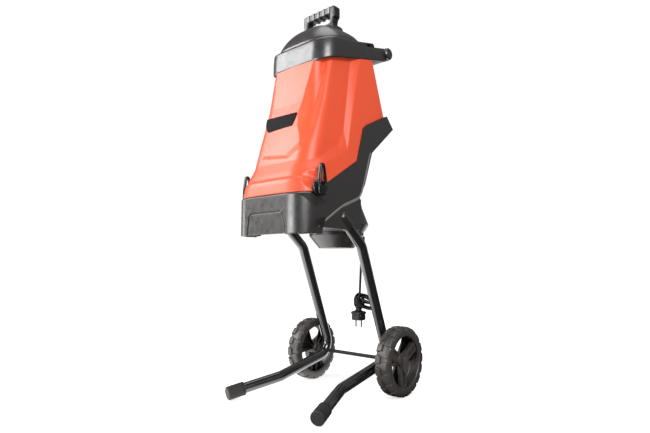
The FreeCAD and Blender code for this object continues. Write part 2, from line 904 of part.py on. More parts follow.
def knob_lugs():
    """Bosses inside the side walls, bored for the knob screws."""
    lugs = []
    for word, side in SIDES:
        inner = size("knob_inner_x") - 26
        lugs.append(round_bar(
            "knob_lug_" + word, 10, 20, inner * side, size("knob_y"), size("knob_z"), facing((side, 0, 0)),
        ))
        for tag, outer, top in (("post", inner + 20, 0), ("foot", inner + 23, -11)):
            low_x, high_x = (inner, outer) if side > 0 else (-outer, -inner)
            lugs.append(box(
                f"knob_{tag}_{word}", (low_x, size("knob_y") - 9, size("knob_z") - 24),
                (high_x, size("knob_y") + 9, size("knob_z") + top),
            ))
    return lugs


def knob_bores(radius, low_x, high_x, tag):
    bores = []
    for word, side in SIDES:
        bores.append(round_bar(
            f"knob_bore_{tag}_{word}", radius, high_x - low_x, length(low_x) * side, size("knob_y"),
            size("knob_z"), facing((side, 0, 0)),
        ))
    return bores


def base_housing():
    """The black lower housing, in one moulding."""
    outside = base_outside()
    shell = cut("base_shell", outside, *base_hollow(), *base_channel())
    solid = fuse("base_solid", shell, *hinge_ears(), *knob_lugs())
    pin = hinge_hole("base")
    bores = knob_bores(size("knob_screw_radius") + size("running_gap"), 80.0, 125.0, "base")
    holes = [
        socket_bar("socket_bore_" + word, side, size("stand_tube_radius") + size("touch_gap"), 0.5, 76.0)
        for word, side in SIDES
    ]
    cord = round_bar("cord_hole", 8, 40, size("cord_x"), size("cord_y"), size("under_z") - 10)
    housing = cut("base_bored", solid, pin, cord, *bores, *holes, *arch_recess())
    return finished(housing, "base_housing")


def arch_recess():
    """The shallow rounded recess on the skirt's front."""
    sketch = free_sketch("arch_outline", "XZ")
    low = size("skirt_low_z") - 1
    high = size("skirt_low_z") + 54
    draw_polygon(sketch, [
        (-67, low), (-60, high - 7), (-53, high), (51, high), (60, high - 7), (75, low),
    ])
    bind(sketch, "Placement.Base.y", size("front_y") + 1.2)
    return [extrusion("arch_recess", sketch, 10, symmetric=False)]


def motor_cover():
    """The round cap under the motor."""
    wall = size("wall")
    low = size("cover_low_z")
    top = size("under_z") - 0.2
    cover = turned("cover", [
        (0, low), (size("cover_low_radius"), low), (size("pot_low_radius"), top - 8),
        (size("pot_low_radius"), top), (size("pot_low_radius") - wall, top),
        (size("pot_low_radius") - wall, top - 8), (size("cover_low_radius") - 2, low + wall), (0, low + wall),
    ], 0, size("rotor_y"), 0)
    bore = round_bar("cover_cord_hole", 8, 60, size("cord_x"), size("cord_y"), low - 5)
    return finished(cut("cover_bored", cover, bore), "motor_cover")


# ---------------------------------------------------------------- motor and cutter

def coaxial(label, profile):
    """A piece turned about the rotor's upright axis."""
    return finished(turned(label + "_turned", profile, 0, size("rotor_y"), 0), label)


def rotor_pieces():
    shaft = size("shaft_radius")
    snug = shaft + size("touch_gap")
    disc_low = size("disc_z")
    disc_high = disc_low + size("disc_thick")
    bearing_low = size("shaft_low_z") + 2
    coaxial("rotor_shaft", [
        (0, size("shaft_low_z")), (shaft, size("shaft_low_z")), (shaft, disc_high - 1), (0, disc_high - 1),
    ])
    low = size("stator_low_z")
    high = size("stator_high_z")
    coaxial("armature", ring_profile(snug, size("armature_radius"), low, high))
    coaxial("commutator", ring_profile(snug, 13, bearing_low + size("bearing_width") + 0.5, low - 0.3))
    coaxial("cooling_fan", [
        (snug, high + 1), (size("fan_radius"), high + 1), (size("fan_radius"), high + 3),
        (14, high + 3), (14, high + 5), (snug, high + 5),
    ])
    cutter_disc(snug, disc_low, disc_high)
    cutter_blades(disc_high)
    blade_screws(disc_high)
    coaxial("disc_bolt", [
        (0, disc_high), (11, disc_high), (11, disc_high + 2), (9, disc_high + 2), (9, disc_high + 6),
        (0, disc_high + 6),
    ])


BLADE_OFFSET = 36.0
BLADE_LONG = 46.0
BLADE_WIDE = 22.0
BLADE_THICK = 4.0
BLADE_SCREW_SPACING = 26.0
BLADE_SCREW_RADIUS = 3.0


def at_rotor(thing, radius, angle, z):
    """Place a solid at a radius and an angle about the rotor's axis."""
    turn = FreeCAD.Rotation(Vector(0, 0, 1), angle)
    spot = turn.multVec(Vector(radius, 0, 0))
    return place(thing, spot.x, size("rotor_y") + spot.y, z, turn)


def cutter_disc(snug, low, high):
    disc = turned("disc_turned", [
        (snug, low - 6), (15, low - 6), (15, low), (size("disc_radius"), low),
        (size("disc_radius"), high - 1), (size("disc_radius") - 1, high), (snug, high),
    ], 0, size("rotor_y"), 0)
    slots = []
    for index, angle in enumerate((0, 180)):
        slot = box(f"disc_slot_{index}", (0, 0, 0), (BLADE_LONG + 6, 9, 20))
        turn = FreeCAD.Rotation(Vector(0, 0, 1), angle)
        spot = turn.multVec(Vector(BLADE_OFFSET - BLADE_LONG / 2, BLADE_WIDE / 2 + 1, 0))
        place(slot, spot.x, size("rotor_y") + spot.y, low - 5, turn)
        slots.append(slot)
    return finished(cut("disc_slotted", disc, *slots), "cutter_disc")


def cutter_blades(top):
    """Two reversible flat blades on the disc."""
    blades = []
    for index, angle in enumerate((0, 180)):
        blank = box(f"blade_blank_{index}", (0, 0, 0), (BLADE_LONG, BLADE_WIDE, BLADE_THICK))
        turn = FreeCAD.Rotation(Vector(0, 0, 1), angle)
        spot = turn.multVec(Vector(BLADE_OFFSET - BLADE_LONG / 2, -BLADE_WIDE / 2, 0))
        place(blank, spot.x, size("rotor_y") + spot.y, top + 0.05, turn)
        holes = screw_bars(f"blade_hole_{index}", angle, BLADE_SCREW_RADIUS + 0.05, top, 8)
        blades.append(cut(f"blade_{index}", blank, *holes))
    return finished(group("blades", *blades), "cutter_blades")


def screw_bars(tag, angle, radius, low, span):
    bars = []
    for index, shift in enumerate((-BLADE_SCREW_SPACING / 2, BLADE_SCREW_SPACING / 2)):
        bar = doc.addObject("Part::Cylinder", f"{tag}_{index}")
        bar.Radius = radius
        bar.Height = span
        bars.append(at_rotor(bar, BLADE_OFFSET + shift, angle, low))
    return bars


def blade_screws(top):
    screws = []
    for index, angle in enumerate((0, 180)):
        shanks = screw_bars(f"blade_shank_{index}", angle, BLADE_SCREW_RADIUS, top + 0.05, BLADE_THICK)
        heads = screw_bars(f"blade_head_{index}", angle, 5.0, top + 0.05 + BLADE_THICK, 2)
        screws += [fuse(f"blade_screw_{index}_{n}", *pair) for n, pair in enumerate(zip(shanks, heads))]
    return finished(group("screws_on_blades", *screws), "blade_screws")


def motor_pieces():
    shaft = size("shaft_radius")
    running = shaft + size("running_gap")
    upper = size("chamber_floor_z") - 14
    lower = size("shaft_low_z") + 2
    coaxial("motor_stator", ring_profile(
        size("armature_radius") + 1, size("stator_radius"), size("stator_low_z"), size("stator_high_z")))
    rings = []
    for tag, low in (("upper", upper), ("lower", lower)):
        profile = ring_profile(running, size("bearing_radius"), low, low + size("bearing_width"))
        rings.append(turned("bearing_" + tag, profile, 0, size("rotor_y"), 0))
    finished(group("bearing_pair", *rings), "motor_bearings")
    seat = size("bearing_radius") + size("touch_gap")
    coaxial("motor_bracket", ring_profile(
        seat, size("bearing_radius") + 1.9, upper - 1, size("chamber_floor_z") - 0.5))
    brushes = []
    brush_low = lower + size("bearing_width") + 0.8
    brush_high = size("stator_low_z") - 0.5
    for word, near, far in (("left", 13.3, 33.3), ("right", -33.3, -13.3)):
        brushes.append(box(
            "brush_" + word, (near, size("rotor_y") - 5, brush_low), (far, size("rotor_y") + 5, brush_high),
        ))
    finished(group("brush_pair", *brushes), "carbon_brushes")


def counter_blade():
    """The fixed steel bar across the chamber's front edge, under the chute."""
    low = size("chamber_floor_z") + 4
    bar = box("counter_bar", (-40, -24, low), (40, -19, low + 14))
    return finished(bar, "counter_blade")


# ---------------------------------------------------------------- hopper

def hopper_sections(inset):
    """Plan outlines of the hopper from foot to top, drawn in by an inset."""
    half = size("base_half")
    top_half = size("hopper_top_half")
    front = size("front_y")
    corner = size("front_corner")
    rear = size("hopper_rear_y")
    rows = [
        (size("seam_front_z") - 10, half, front, rear, corner),
        (size("hopper_foot_z"), half, front + 3, rear, corner),
        (size("hopper_step_z"), half - 4, size("hopper_step_y"), rear, corner - 4),
        (size("hopper_mid_z"), half - 7, size("hopper_mid_y"), rear, corner - 6),
        (size("hopper_high_z"), half - 9, size("hopper_high_y"), rear, corner - 8),
        (size("hopper_top_z"), top_half, size("hopper_top_y"), size("hopper_rear_top_y"), corner - 10),
    ]
    return [(z, h - inset, f + inset, r - inset, c - inset) for z, h, f, r, c in rows]


def hood_line(y, above=0):
    """Height of the hood band's tilted lower edge at a given y."""
    run = size("grip_y") - size("hood_front_y")
    slope = size("hood_rise") / run
    return size("hood_low_z") + slope * (length(y) - size("hood_front_y")) + above


KNUCKLE_WIDE = 10.0


def hopper_shell():
    """The orange hopper, open below, hinged at its rear foot."""
    outer = plan_loft("hopper_outer", hopper_sections(0))
    inner = plan_loft("hopper_inner", hopper_sections(size("wall")))
    gap = size("seam_gap")
    far_front = size("front_y") - 10
    far_rear = size("seam_rear_y") + 5
    seam = [(y - gap, z + gap) for y, z in seam_points()]
    outline = [(far_front, size("seam_front_z") + gap)] + seam[1:] + [
        (far_rear, size("seam_rear_z") + gap), (far_rear, hood_line(far_rear, 24)),
        (far_front, hood_line(far_front, 24)),
    ]
    kept = side_slab("hopper_kept", outline, size("base_half") * 2 + 10)
    shell = common("hopper_trimmed", cut("hopper_walls", outer, inner), kept)
    knuckles = []
    for index, low in enumerate((-81.0, 71.0)):
        knuckles.append(hinge_x(low, low + KNUCKLE_WIDE, f"knuckle_{index}", size("knuckle_radius")))
        lug = box(
            f"knuckle_lug_{index}",
            (low, size("hopper_rear_y") - 6, size("hinge_z") - 2),
            (low + KNUCKLE_WIDE, size("hinge_y"), size("hinge_z") + size("knuckle_radius")),
        )
        knuckles.append(lug)
    solid = fuse("hopper_hinged", shell, *knuckles)
    pin = hinge_hole("hopper")
    notches = knob_bores(size("knob_screw_radius") + 2, 105.0, 125.0, "hopper")
    return finished(cut("hopper_bored", solid, pin, *notches), "hopper_shell")


def feed_chute():
    """The inner channel from the hood's slot down to the cutter disc."""
    def tube(name, grow, longer):
        half = size("chute_half") + grow
        deep = size("chute_depth_half") + grow
        rows = [
            (size("chute_low_z") - longer, size("chute_low_y")),
            (size("chute_bend_z"), size("chute_y")),
            (size("chute_top_z") + longer, size("chute_y")),
        ]
        sketches = []
        for index, (height, middle) in enumerate(rows):
            sketch = free_sketch(f"{name}_plan{index}", "XY")
            draw_polygon(sketch, [
                (-half, middle - deep), (half, middle - deep), (half, middle + deep), (-half, middle + deep),
            ])
            bind(sketch, "Placement.Base.z", height)
            sketches.append(sketch)
        return ruled_loft(name, sketches)

    walls = cut("chute", tube("chute_outer", size("wall"), 0), tube("chute_inner", 0, 1))
    return finished(walls, "feed_chute")


def hood():
    """The black cap: tilted band, dome, two rearward arms and the slot's collar."""
    half = size("hood_half")
    front = size("hood_front_y")
    rear = size("hood_rear_y")
    band = size("hood_band")
    low = size("hood_low_z") - 10
    high = size("dome_z") + size("dome_height") + 20
    arm_rear = size("grip_y")
    block = plan_block("hood_block", half, front, arm_rear, size("front_corner"), low, high)
    slab = side_slab("hood_slab", [
        (front - 5, hood_line(front - 5)), (arm_rear, hood_line(arm_rear)),
        (arm_rear, hood_line(arm_rear, band - 14)), (60, hood_line(60, band)),
        (front - 5, hood_line(front - 5, band)),
    ], half * 2 + 10)
    inner_block = plan_block(
        "hood_inner_block", half - 3.4, front + 3.4, rear, size("front_corner") - 3.4, low, high)
    inner_slab = side_slab("hood_inner_slab", [
        (front - 5, hood_line(front - 5, -10)), (arm_rear, hood_line(arm_rear, -10)),
        (arm_rear, hood_line(arm_rear, band - 5)), (front - 5, hood_line(front - 5, band - 5)),
    ], half * 2 + 10)
    arm_inner = size("arm_inner_half")
    gap = box("hood_arm_gap", (-arm_inner, rear + 3, low), (arm_inner, arm_rear + 5, high))
    inner = common("hood_inner", inner_block, inner_slab)
    band_solid = cut("hood_band_solid", common("hood_band_block", block, slab), inner, gap)
    dome = doc.addObject("Part::Ellipsoid", "dome_outer")
    hollow = doc.addObject("Part::Ellipsoid", "dome_inner")
    for shape, inset in ((dome, 0), (hollow, 3)):
        bind(shape, "Radius1", size("dome_height") - inset)
        bind(shape, "Radius2", size("dome_half") - inset)
        bind(shape, "Radius3", size("dome_depth") - inset)
        place(shape, 0, size("dome_y"), size("dome_z"))
    above = side_slab("dome_kept", [
        (front - 5, hood_line(front - 5, band - 5)), (rear + 20, hood_line(rear + 20, band - 5)),
        (rear + 20, high + 30), (front - 5, high + 30),
    ], half * 2 + 10)
    dome_shell = common("dome_cap", dome, above)
    collar = box(
        "slot_collar", (-62, size("chute_y") - 30, size("collar_z") - 30),
        (62, size("chute_y") + 30, size("collar_z")))
    rings = []
    for word, side in SIDES:
        rings.append(round_bar(
            "grip_ring_" + word, size("grip_radius"), half - arm_inner, arm_inner * side,
            size("grip_y"), size("grip_z"), facing((side, 0, 0)),
        ))
    solid = fuse("hood_solid", band_solid, dome_shell, collar, *rings)
    mouth_half = size("chute_half")
    mouth_deep = size("chute_depth_half")
    slot_half = mouth_half + size("wall") + 0.5
    slot_deep = mouth_deep + size("wall") + 0.5
    middle = size("chute_y")
    slot_top = size("chute_top_z") + 1
    slot = box("feed_slot", (-slot_half, middle - slot_deep, low), (slot_half, middle + slot_deep, slot_top))
    mouth = box(
        "feed_mouth", (-mouth_half, middle - mouth_deep, slot_top - 6),
        (mouth_half, middle + mouth_deep, high + 20),
    )
    spigots = across(
        "grip_bore", size("spigot_radius") + size("touch_gap"), 130, size("grip_y"), size("grip_z"))
    under = common("dome_under", hollow, above)
    return finished(cut("hood_bored", solid, under, slot, mouth, spigots), "hood")


def rear_grip():
    """The transport bar between the hood's two arms."""
    inner = size("arm_inner_half") - 0.3
    outer = size("hood_half") + 0.3
    end = outer + 8
    radius = size("grip_radius")
    spigot = size("spigot_radius")
    profile = [
        (0, -end), (radius - 3, -end), (radius, -end + 3), (radius, -outer), (spigot, -outer),
        (spigot, -inner), (radius, -inner), (radius, inner), (spigot, inner), (spigot, outer),
        (radius, outer), (radius, end - 3), (radius - 3, end), (0, end),
    ]
    bar = turned("grip_turned", profile, 0, size("grip_y"), size("grip_z"), facing((1, 0, 0)))
    return finished(bar, "rear_grip")


# ---------------------------------------------------------------- pusher

def pusher():
    """The plunger that closes the slot: a hollow blade and a ribbed handle."""
    half = size("pusher_half")
    deep = size("pusher_depth_half")
    middle = size("chute_y")
    top = size("collar_z") + 0.4
    low = size("pusher_low_z")
    wall = size("wall")
    outer = box("blade_outer", (-half, middle - deep, low), (half, middle + deep, top - 0.1))
    inner = box(
        "blade_inner", (wall - half, middle - deep + wall, low + wall),
        (half - wall, middle + deep - wall, top + 1),
    )
    finished(cut("blade_hollow", outer, inner), "pusher_blade")
    lid_half = size("lid_half")
    lid_deep = size("lid_depth_half")
    lid = box(
        "lid", (-lid_half, middle - lid_deep, top), (lid_half, middle + lid_deep, top + size("lid_thick")))
    wide = size("handle_half")
    thick = size("handle_depth_half")
    high = size("handle_top_z")
    block = box("handle_block", (-wide, middle - thick, top), (wide, middle + thick, high))
    leg = size("handle_leg")
    bar_low = high - size("handle_bar")
    gap = box(
        "handle_gap", (leg - wide, middle - thick - 5, top + size("lid_thick")),
        (wide - leg, middle + thick + 5, bar_low),
    )
    grooves = []
    for index in range(7):
        x = -42 + 14 * index
        for word, y in (("front", middle - thick - 2), ("rear", middle + thick - 1.5)):
            grooves.append(box(
                f"grip_groove_{word}_{index}", (x - 3, y, bar_low + 3), (x + 3, y + 3.5, high - 3),
            ))
    handle = cut("handle_cut", fuse("handle_solid", lid, block), gap, *grooves)
    return finished(handle, "pusher_handle")


# ---------------------------------------------------------------- knobs, badge, switch

def locking_knob(name, side):
    """A round knob with an upright loop lever."""
    thick = size("knob_thick")
    reach = size("lever_reach")
    half = size("lever_half")
    bar = size("lever_bar")
    base = turned(name + "_round", [
        (4.05, 0), (size("knob_radius"), 0), (size("knob_radius"), thick - 3),
        (size("knob_radius") - 3, thick), (4.05, thick),
    ], size("knob_inner_x") * side, size("knob_y"), size("knob_z"), facing((side, 0, 0)))
    low_x = size("knob_inner_x") + thick - 1
    high_x = low_x + 8

    def plate(tag, half_width, low, high):
        near, far = (low_x, high_x) if side > 0 else (-high_x, -low_x)
        middle = size("knob_y")
        return box(f"{name}_{tag}", (near, middle - half_width, low), (far, middle + half_width, high))

    lever = plate("lever", half, size("knob_z") - 10, size("knob_z") + reach)
    hole = plate("lever_hole", half - bar + 1.5, size("knob_z") + 8, size("knob_z") + reach - bar)
    return finished(fuse(name + "_solid", base, cut(name + "_loop", lever, hole)), name)


def knob_screw(name, side):
    start = size("knob_inner_x") - 22
    bar = round_bar(
        name + "_bar", size("knob_screw_radius"), 30, start * side, size("knob_y"), size("knob_z"),
        facing((side, 0, 0)))
    return finished(bar, name)


def badge_plate():
    """A blank badge with cut corners on the front panel."""
    slope_low = Vector(0, sheet.hopper_mid_y, sheet.hopper_mid_z)
    slope_high = Vector(0, sheet.hopper_high_y, sheet.hopper_high_z)
    up = (slope_high - slope_low).normalize()
    out = Vector(1, 0, 0).cross(up)
    start = slope_low + up * 14 + out * 0.3
    sketch = doc.addObject("Sketcher::SketchObject", "badge_outline")
    sketch.Placement = FreeCAD.Placement(start, FreeCAD.Rotation(Vector(1, 0, 0), up, out, "ZXY"))
    draw_polygon(sketch, [(-68, 0), (20, 0), (32, 8), (38, 44), (-62, 44), (-77, 8)])
    plate = extrusion("badge", sketch, 2, symmetric=False)
    return finished(plate, "badge_plate")


def switch_panel():
    """The control plate on the rear slope, with its three buttons."""
    half = size("panel_half")
    depth = size("panel_depth") / 2
    plate = panel_box("panel_plate", -half, half, -depth, depth, 0.1, 3.1)
    button = size("button_radius")
    spots = [
        ("start_button", size("button_x"), button, 7.0),
        ("stop_button", -size("button_x"), button, 7.0),
        ("reset_button", -size("reset_x"), size("reset_radius"), 6.0),
    ]
    holes = []
    for name, x, radius, top in spots:
        hole = round_bar(name + "_hole", radius + 0.3, 8)
        holes.append(on_panel(hole, x, -2.0, 3.0))
        cap = round_bar(name + "_cap", radius, top + 3.0)
        finished(on_panel(cap, x, -3.0, 3.0), name)
    finished(cut("panel_drilled", plate, *holes), "switch_panel")
    finished(panel_box("switch_case", -34, 34, -10, 12, -34.0, -8.0), "switch_block")
    finished(panel_box("breaker_case", -56, -37, -6, 12, -34.0, -8.0), "overload_breaker")


def hinge_rod():
    bar = across("rod", size("hinge_pin_radius"), 91, size("hinge_y"), size("hinge_z"))
    return finished(bar, "hinge_rod")


# ---------------------------------------------------------------- cord and plug

CORD_LIFT = 1.6
LOOP_RADIUS = 17.0


def power_cord():
    """The mains cord: it leaves the cover, hangs, and is looped up above the plug."""
    x = sheet.cord_x
    y = sheet.cord_y
    middle_z = (sheet.under_z + sheet.plug_top_z) / 2
    points = [
        Vector(x, y, sheet.under_z - 12),
        Vector(x, y - 5, middle_z + 40),
        Vector(x - 1, y - 10, middle_z - 30),
        Vector((x + sheet.plug_x) / 2, sheet.plug_y + 2, sheet.plug_top_z + 26),
        Vector(sheet.plug_x, sheet.plug_y, sheet.plug_top_z + CORD_LIFT),
    ]
    curve = Part.BSplineCurve()
    curve.interpolate(points)
    hanging = pipe(Part.Wire([curve.toShape()]), sheet.cord_radius)
    loops = []
    for lean, shift in ((-14, 0), (12, 3)):
        loop = Part.makeTorus(LOOP_RADIUS, sheet.cord_radius)
        loop.rotate(Vector(0, 0, 0), Vector(0, 1, 0), 90 + lean)
        loop.translate(Vector(x - 6 + shift, y - 2, sheet.plug_top_z + 40))
        loops.append(loop)
    cord = doc.addObject("Part::Feature", "cord")
    cord.Shape = hanging.fuse(loops)
    cord.Placement = FreeCAD.Placement()
    return finished(cord, "power_cord")


def cord_grommet():
    bore = size("cord_radius") + 2.4
    ring = turned("grommet", [
        (bore, 0), (6.5, 0), (7.9, 10), (7.9, 30), (bore, 30),
    ], size("cord_x"), size("cord_y"), size("cover_low_z") + 4)
    return finished(ring, "cord_grommet")


def plug():
    """A two-pin mains plug with a moulded body."""
    top = size("plug_top_z")
    low = size("plug_low_z")
    profile = [(0, low), (18, low), (19, low + 3), (19, top - 12), (9, top - 3), (6, top), (0, top)]
    finished(turned("plug_turned", profile, size("plug_x"), size("plug_y"), 0), "plug_body")
    pins = []
    for index, side in enumerate((1, -1)):
        pins.append(round_bar(
            f"plug_pin_{index}", size("plug_pin_radius"), size("plug_pin_length"),
            size("plug_x") + size("plug_pin_spacing") / 2 * side, size("plug_y"),
            low - size("plug_pin_length"),
        ))
    finished(group("pin_pair", *pins), "plug_pins")


# ---------------------------------------------------------------- assembly

def build():
    for word, side in SIDES:
        stand_tube("frame_tube_" + word, side)
        foot_cap("foot_cap_" + word, side)
        wheel("wheel_" + word, side)
        hub_cap("hub_cap_" + word, side)
        locking_knob("locking_knob_" + word, side)
        knob_screw("knob_screw_" + word, side)
    axle()
    axle_spacers()
    axle_retainers()
    base_housing()
    motor_cover()
    motor_pieces()
    rotor_pieces()
    counter_blade()
    hopper_shell()
    feed_chute()
    hood()
    rear_grip()
    pusher()
    badge_plate()
    switch_panel()
    hinge_rod()
    power_cord()
    cord_grommet()
    plug()


def check():
    """Stop on a failed object or an unsound piece."""
    doc.recompute()
    faults = [item.Name for item in doc.Objects if {"Invalid", "Error"} & set(item.State)]
    for piece in pieces:
        if piece.Shape.isNull() or not piece.Shape.isValid() or not piece.Shape.Solids:
            faults.append(piece.Label)
    if faults:
        raise RuntimeError(f"unsound: {faults}")


def write():
    os.makedirs("parts", exist_ok=True)
    for piece in pieces:
        piece.Shape.exportStep(f"parts/{piece.Label}.step")


build()
check()
write()
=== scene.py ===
"""Looks of the electric garden shredder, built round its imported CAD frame.

Shapes are given in millimetres in the CAD frame, and MM turns them to metres where they reach a mesh.
Textures, the floor and the lamps are in metres. +X is the machine's left-hand side, -Y its front, +Z up.
"""

import json
import math

import bmesh
import bpy
import numpy as np
from mathutils import Matrix, Vector


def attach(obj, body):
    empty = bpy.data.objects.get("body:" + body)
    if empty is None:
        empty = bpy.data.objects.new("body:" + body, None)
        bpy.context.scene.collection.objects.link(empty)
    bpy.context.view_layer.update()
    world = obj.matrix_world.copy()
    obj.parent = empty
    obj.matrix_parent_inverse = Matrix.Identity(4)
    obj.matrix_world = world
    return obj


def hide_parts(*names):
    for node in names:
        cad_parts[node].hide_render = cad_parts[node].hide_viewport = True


MM = 0.001
LEFT, BACK, UP = (1, 0, 0), (0, 1, 0), (0, 0, 1)
SIDES = (("left", 1), ("right", -1))
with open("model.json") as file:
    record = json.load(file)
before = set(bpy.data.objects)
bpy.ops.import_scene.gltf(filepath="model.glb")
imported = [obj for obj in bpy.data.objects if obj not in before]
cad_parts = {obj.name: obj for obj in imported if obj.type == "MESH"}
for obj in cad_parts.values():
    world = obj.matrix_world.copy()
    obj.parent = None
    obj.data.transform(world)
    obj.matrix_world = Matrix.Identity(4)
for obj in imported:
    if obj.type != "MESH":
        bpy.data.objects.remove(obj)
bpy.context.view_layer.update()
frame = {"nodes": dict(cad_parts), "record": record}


# ---------------------------------------------------------------- materials

class Nodes:
    """A short way to add and join shader nodes."""

    def __init__(self, name):
        self.material = bpy.data.materials.new(name)
        self.material.use_nodes = True
        self.tree = self.material.node_tree
        self.shader = self.tree.nodes["Principled BSDF"]
        self.place = self.add("ShaderNodeTexCoord").outputs["Object"]

    def add(self, kind, **values):
        node = self.tree.nodes.new(kind)
        for name, value in values.items():
            if name in node.inputs:
                node.inputs[name].default_value = value
            else:
                setattr(node, name, value)
        return node

    def link(self, start, end):
        self.tree.links.new(start, end)

    def noise(self, scale, detail=3.0):
        node = self.add("ShaderNodeTexNoise", Scale=scale, Detail=detail, Roughness=0.6)
        self.link(self.place, node.inputs["Vector"])
        return node.outputs["Fac"]

    def ramp(self, factor, low, high, start=0.3, end=0.7):
        node = self.add(
            "ShaderNodeMapRange", **{"From Min": start, "From Max": end, "To Min": low, "To Max": high})
        self.link(factor, node.inputs["Value"])
        return node.outputs["Result"]

    def mix(self, factor, first, second):
        """A mix of two fixed colours."""
        node = self.add("ShaderNodeMix", data_type="RGBA")
        self.link(factor, node.inputs["Factor"])
        node.inputs["A"].default_value = (*first, 1)
        node.inputs["B"].default_value = (*second, 1)
        return node.outputs["Result"]

    def cover(self, factor, base, colour):
        """A fixed colour mixed over a colour socket."""
        node = self.add("ShaderNodeMix", data_type="RGBA")
        self.link(factor, node.inputs["Factor"])
        self.link(base, node.inputs["A"])
        node.inputs["B"].default_value = (*colour, 1)
        return node.outputs["Result"]

    def times(self, first, second):
        node = self.add("ShaderNodeMath", operation="MULTIPLY")
        self.link(first, node.inputs[0])
        self.link(second, node.inputs[1])
        return node.outputs[0]

    def finish(self, colour, roughness, height, strength, distance, **values):
        """Feed the shader from three sockets: its colour, its roughness and the height of its bumps."""
        bump = self.add("ShaderNodeBump", Strength=strength, Distance=distance)
        self.link(height, bump.inputs["Height"])
        self.link(colour, self.shader.inputs["Base Color"])
        self.link(roughness, self.shader.inputs["Roughness"])
        self.link(bump.outputs["Normal"], self.shader.inputs["Normal"])
        for name, value in values.items():
            self.shader.inputs[name.replace("_", " ")].default_value = value
        return self.material


def shade(colour, factor):
    return tuple(min(1.0, channel * factor) for channel in colour)


WORN_EDGE = (0.53, 0.62)  # pointiness where the wear starts, and where it is full
HOLLOW = (0.25, 0.65)  # openness where the shade is full, and where it ends
# Colour of the painted shade in hollows.
HOLLOW_SHADE_COLOUR = (0.002, 0.002, 0.002)


def edge_wear(n, base, worn):
    """Lighten the colour where the surface bends sharply outwards."""
    geometry = n.add("ShaderNodeNewGeometry")
    return n.cover(n.ramp(geometry.outputs["Pointiness"], 0.0, 1.0, *WORN_EDGE), base, worn)


def hollow_shade(n, base, depth):
    """Darken the colour inside hollows with painted shade."""
    inside = n.add("ShaderNodeAmbientOcclusion", samples=8, Distance=depth)
    return n.cover(n.ramp(inside.outputs["AO"], 1.0, 0.0, *HOLLOW), base, HOLLOW_SHADE_COLOUR)


def plastic(name, colour, roughness, grain=2600.0, grain_depth=0.00004, mottle=0.06, coat=0.0, ior=1.5,
            hollow_shade_depth=0.0):
    """Moulded plastic: a fine grain, slow mottling in colour, uneven sheen and, if asked, painted shade in
    hollows.
    """
    n = Nodes(name)
    tint = n.mix(n.noise(14.0, 2.0), shade(colour, 1 - mottle), shade(colour, 1 + mottle))
    colours = edge_wear(n, tint, shade(colour, 1.25))
    # Painted shade darkens the colour in hollows.
    if hollow_shade_depth:
        colours = hollow_shade(n, colours, hollow_shade_depth)
    sheen = n.ramp(n.noise(60.0, 4.0), roughness - 0.05, roughness + 0.06)
    return n.finish(
        colours, sheen, n.noise(grain, 2.0), 0.35, grain_depth, IOR=ior, Coat_Weight=coat, Coat_Roughness=0.4)


def paint(name, colour, roughness):
    """Gloss powder coat with a faint orange peel."""
    n = Nodes(name)
    tint = n.mix(n.noise(25.0), shade(colour, 0.85), shade(colour, 1.2))
    sheen = n.ramp(n.noise(90.0), roughness - 0.03, roughness + 0.05)
    return n.finish(
        tint, sheen, n.noise(420.0, 1.0), 0.25, 0.00006, IOR=1.9, Coat_Weight=1.0, Coat_Roughness=0.08)


def rubber(name, colour, roughness):
    """Dull rubber, mottled and coarser than the plastic."""
    n = Nodes(name)
    tint = n.mix(n.noise(40.0, 5.0), shade(colour, 0.75), shade(colour, 1.35))
    sheen = n.ramp(n.noise(120.0), roughness - 0.08, roughness + 0.08)
    return n.finish(tint, sheen, n.noise(1500.0, 4.0), 0.5, 0.00012, Specular_IOR_Level=0.35)


def metal(name, colour, roughness, stretch=(1.0, 1.0, 40.0)):
    """Bare metal with fine drawn marks along one axis."""
    n = Nodes(name)
    mapping = n.add("ShaderNodeMapping", Scale=stretch)
    n.link(n.place, mapping.inputs["Vector"])
    noise = n.add("ShaderNodeTexNoise", Scale=300.0)
    n.link(mapping.outputs["Vector"], noise.inputs["Vector"])
    marks = noise.outputs["Fac"]
    tint = n.mix(n.noise(30.0), shade(colour, 0.85), colour)
    return n.finish(tint, n.ramp(marks, roughness - 0.08, roughness + 0.1), marks, 0.2, 0.00003, Metallic=1.0)


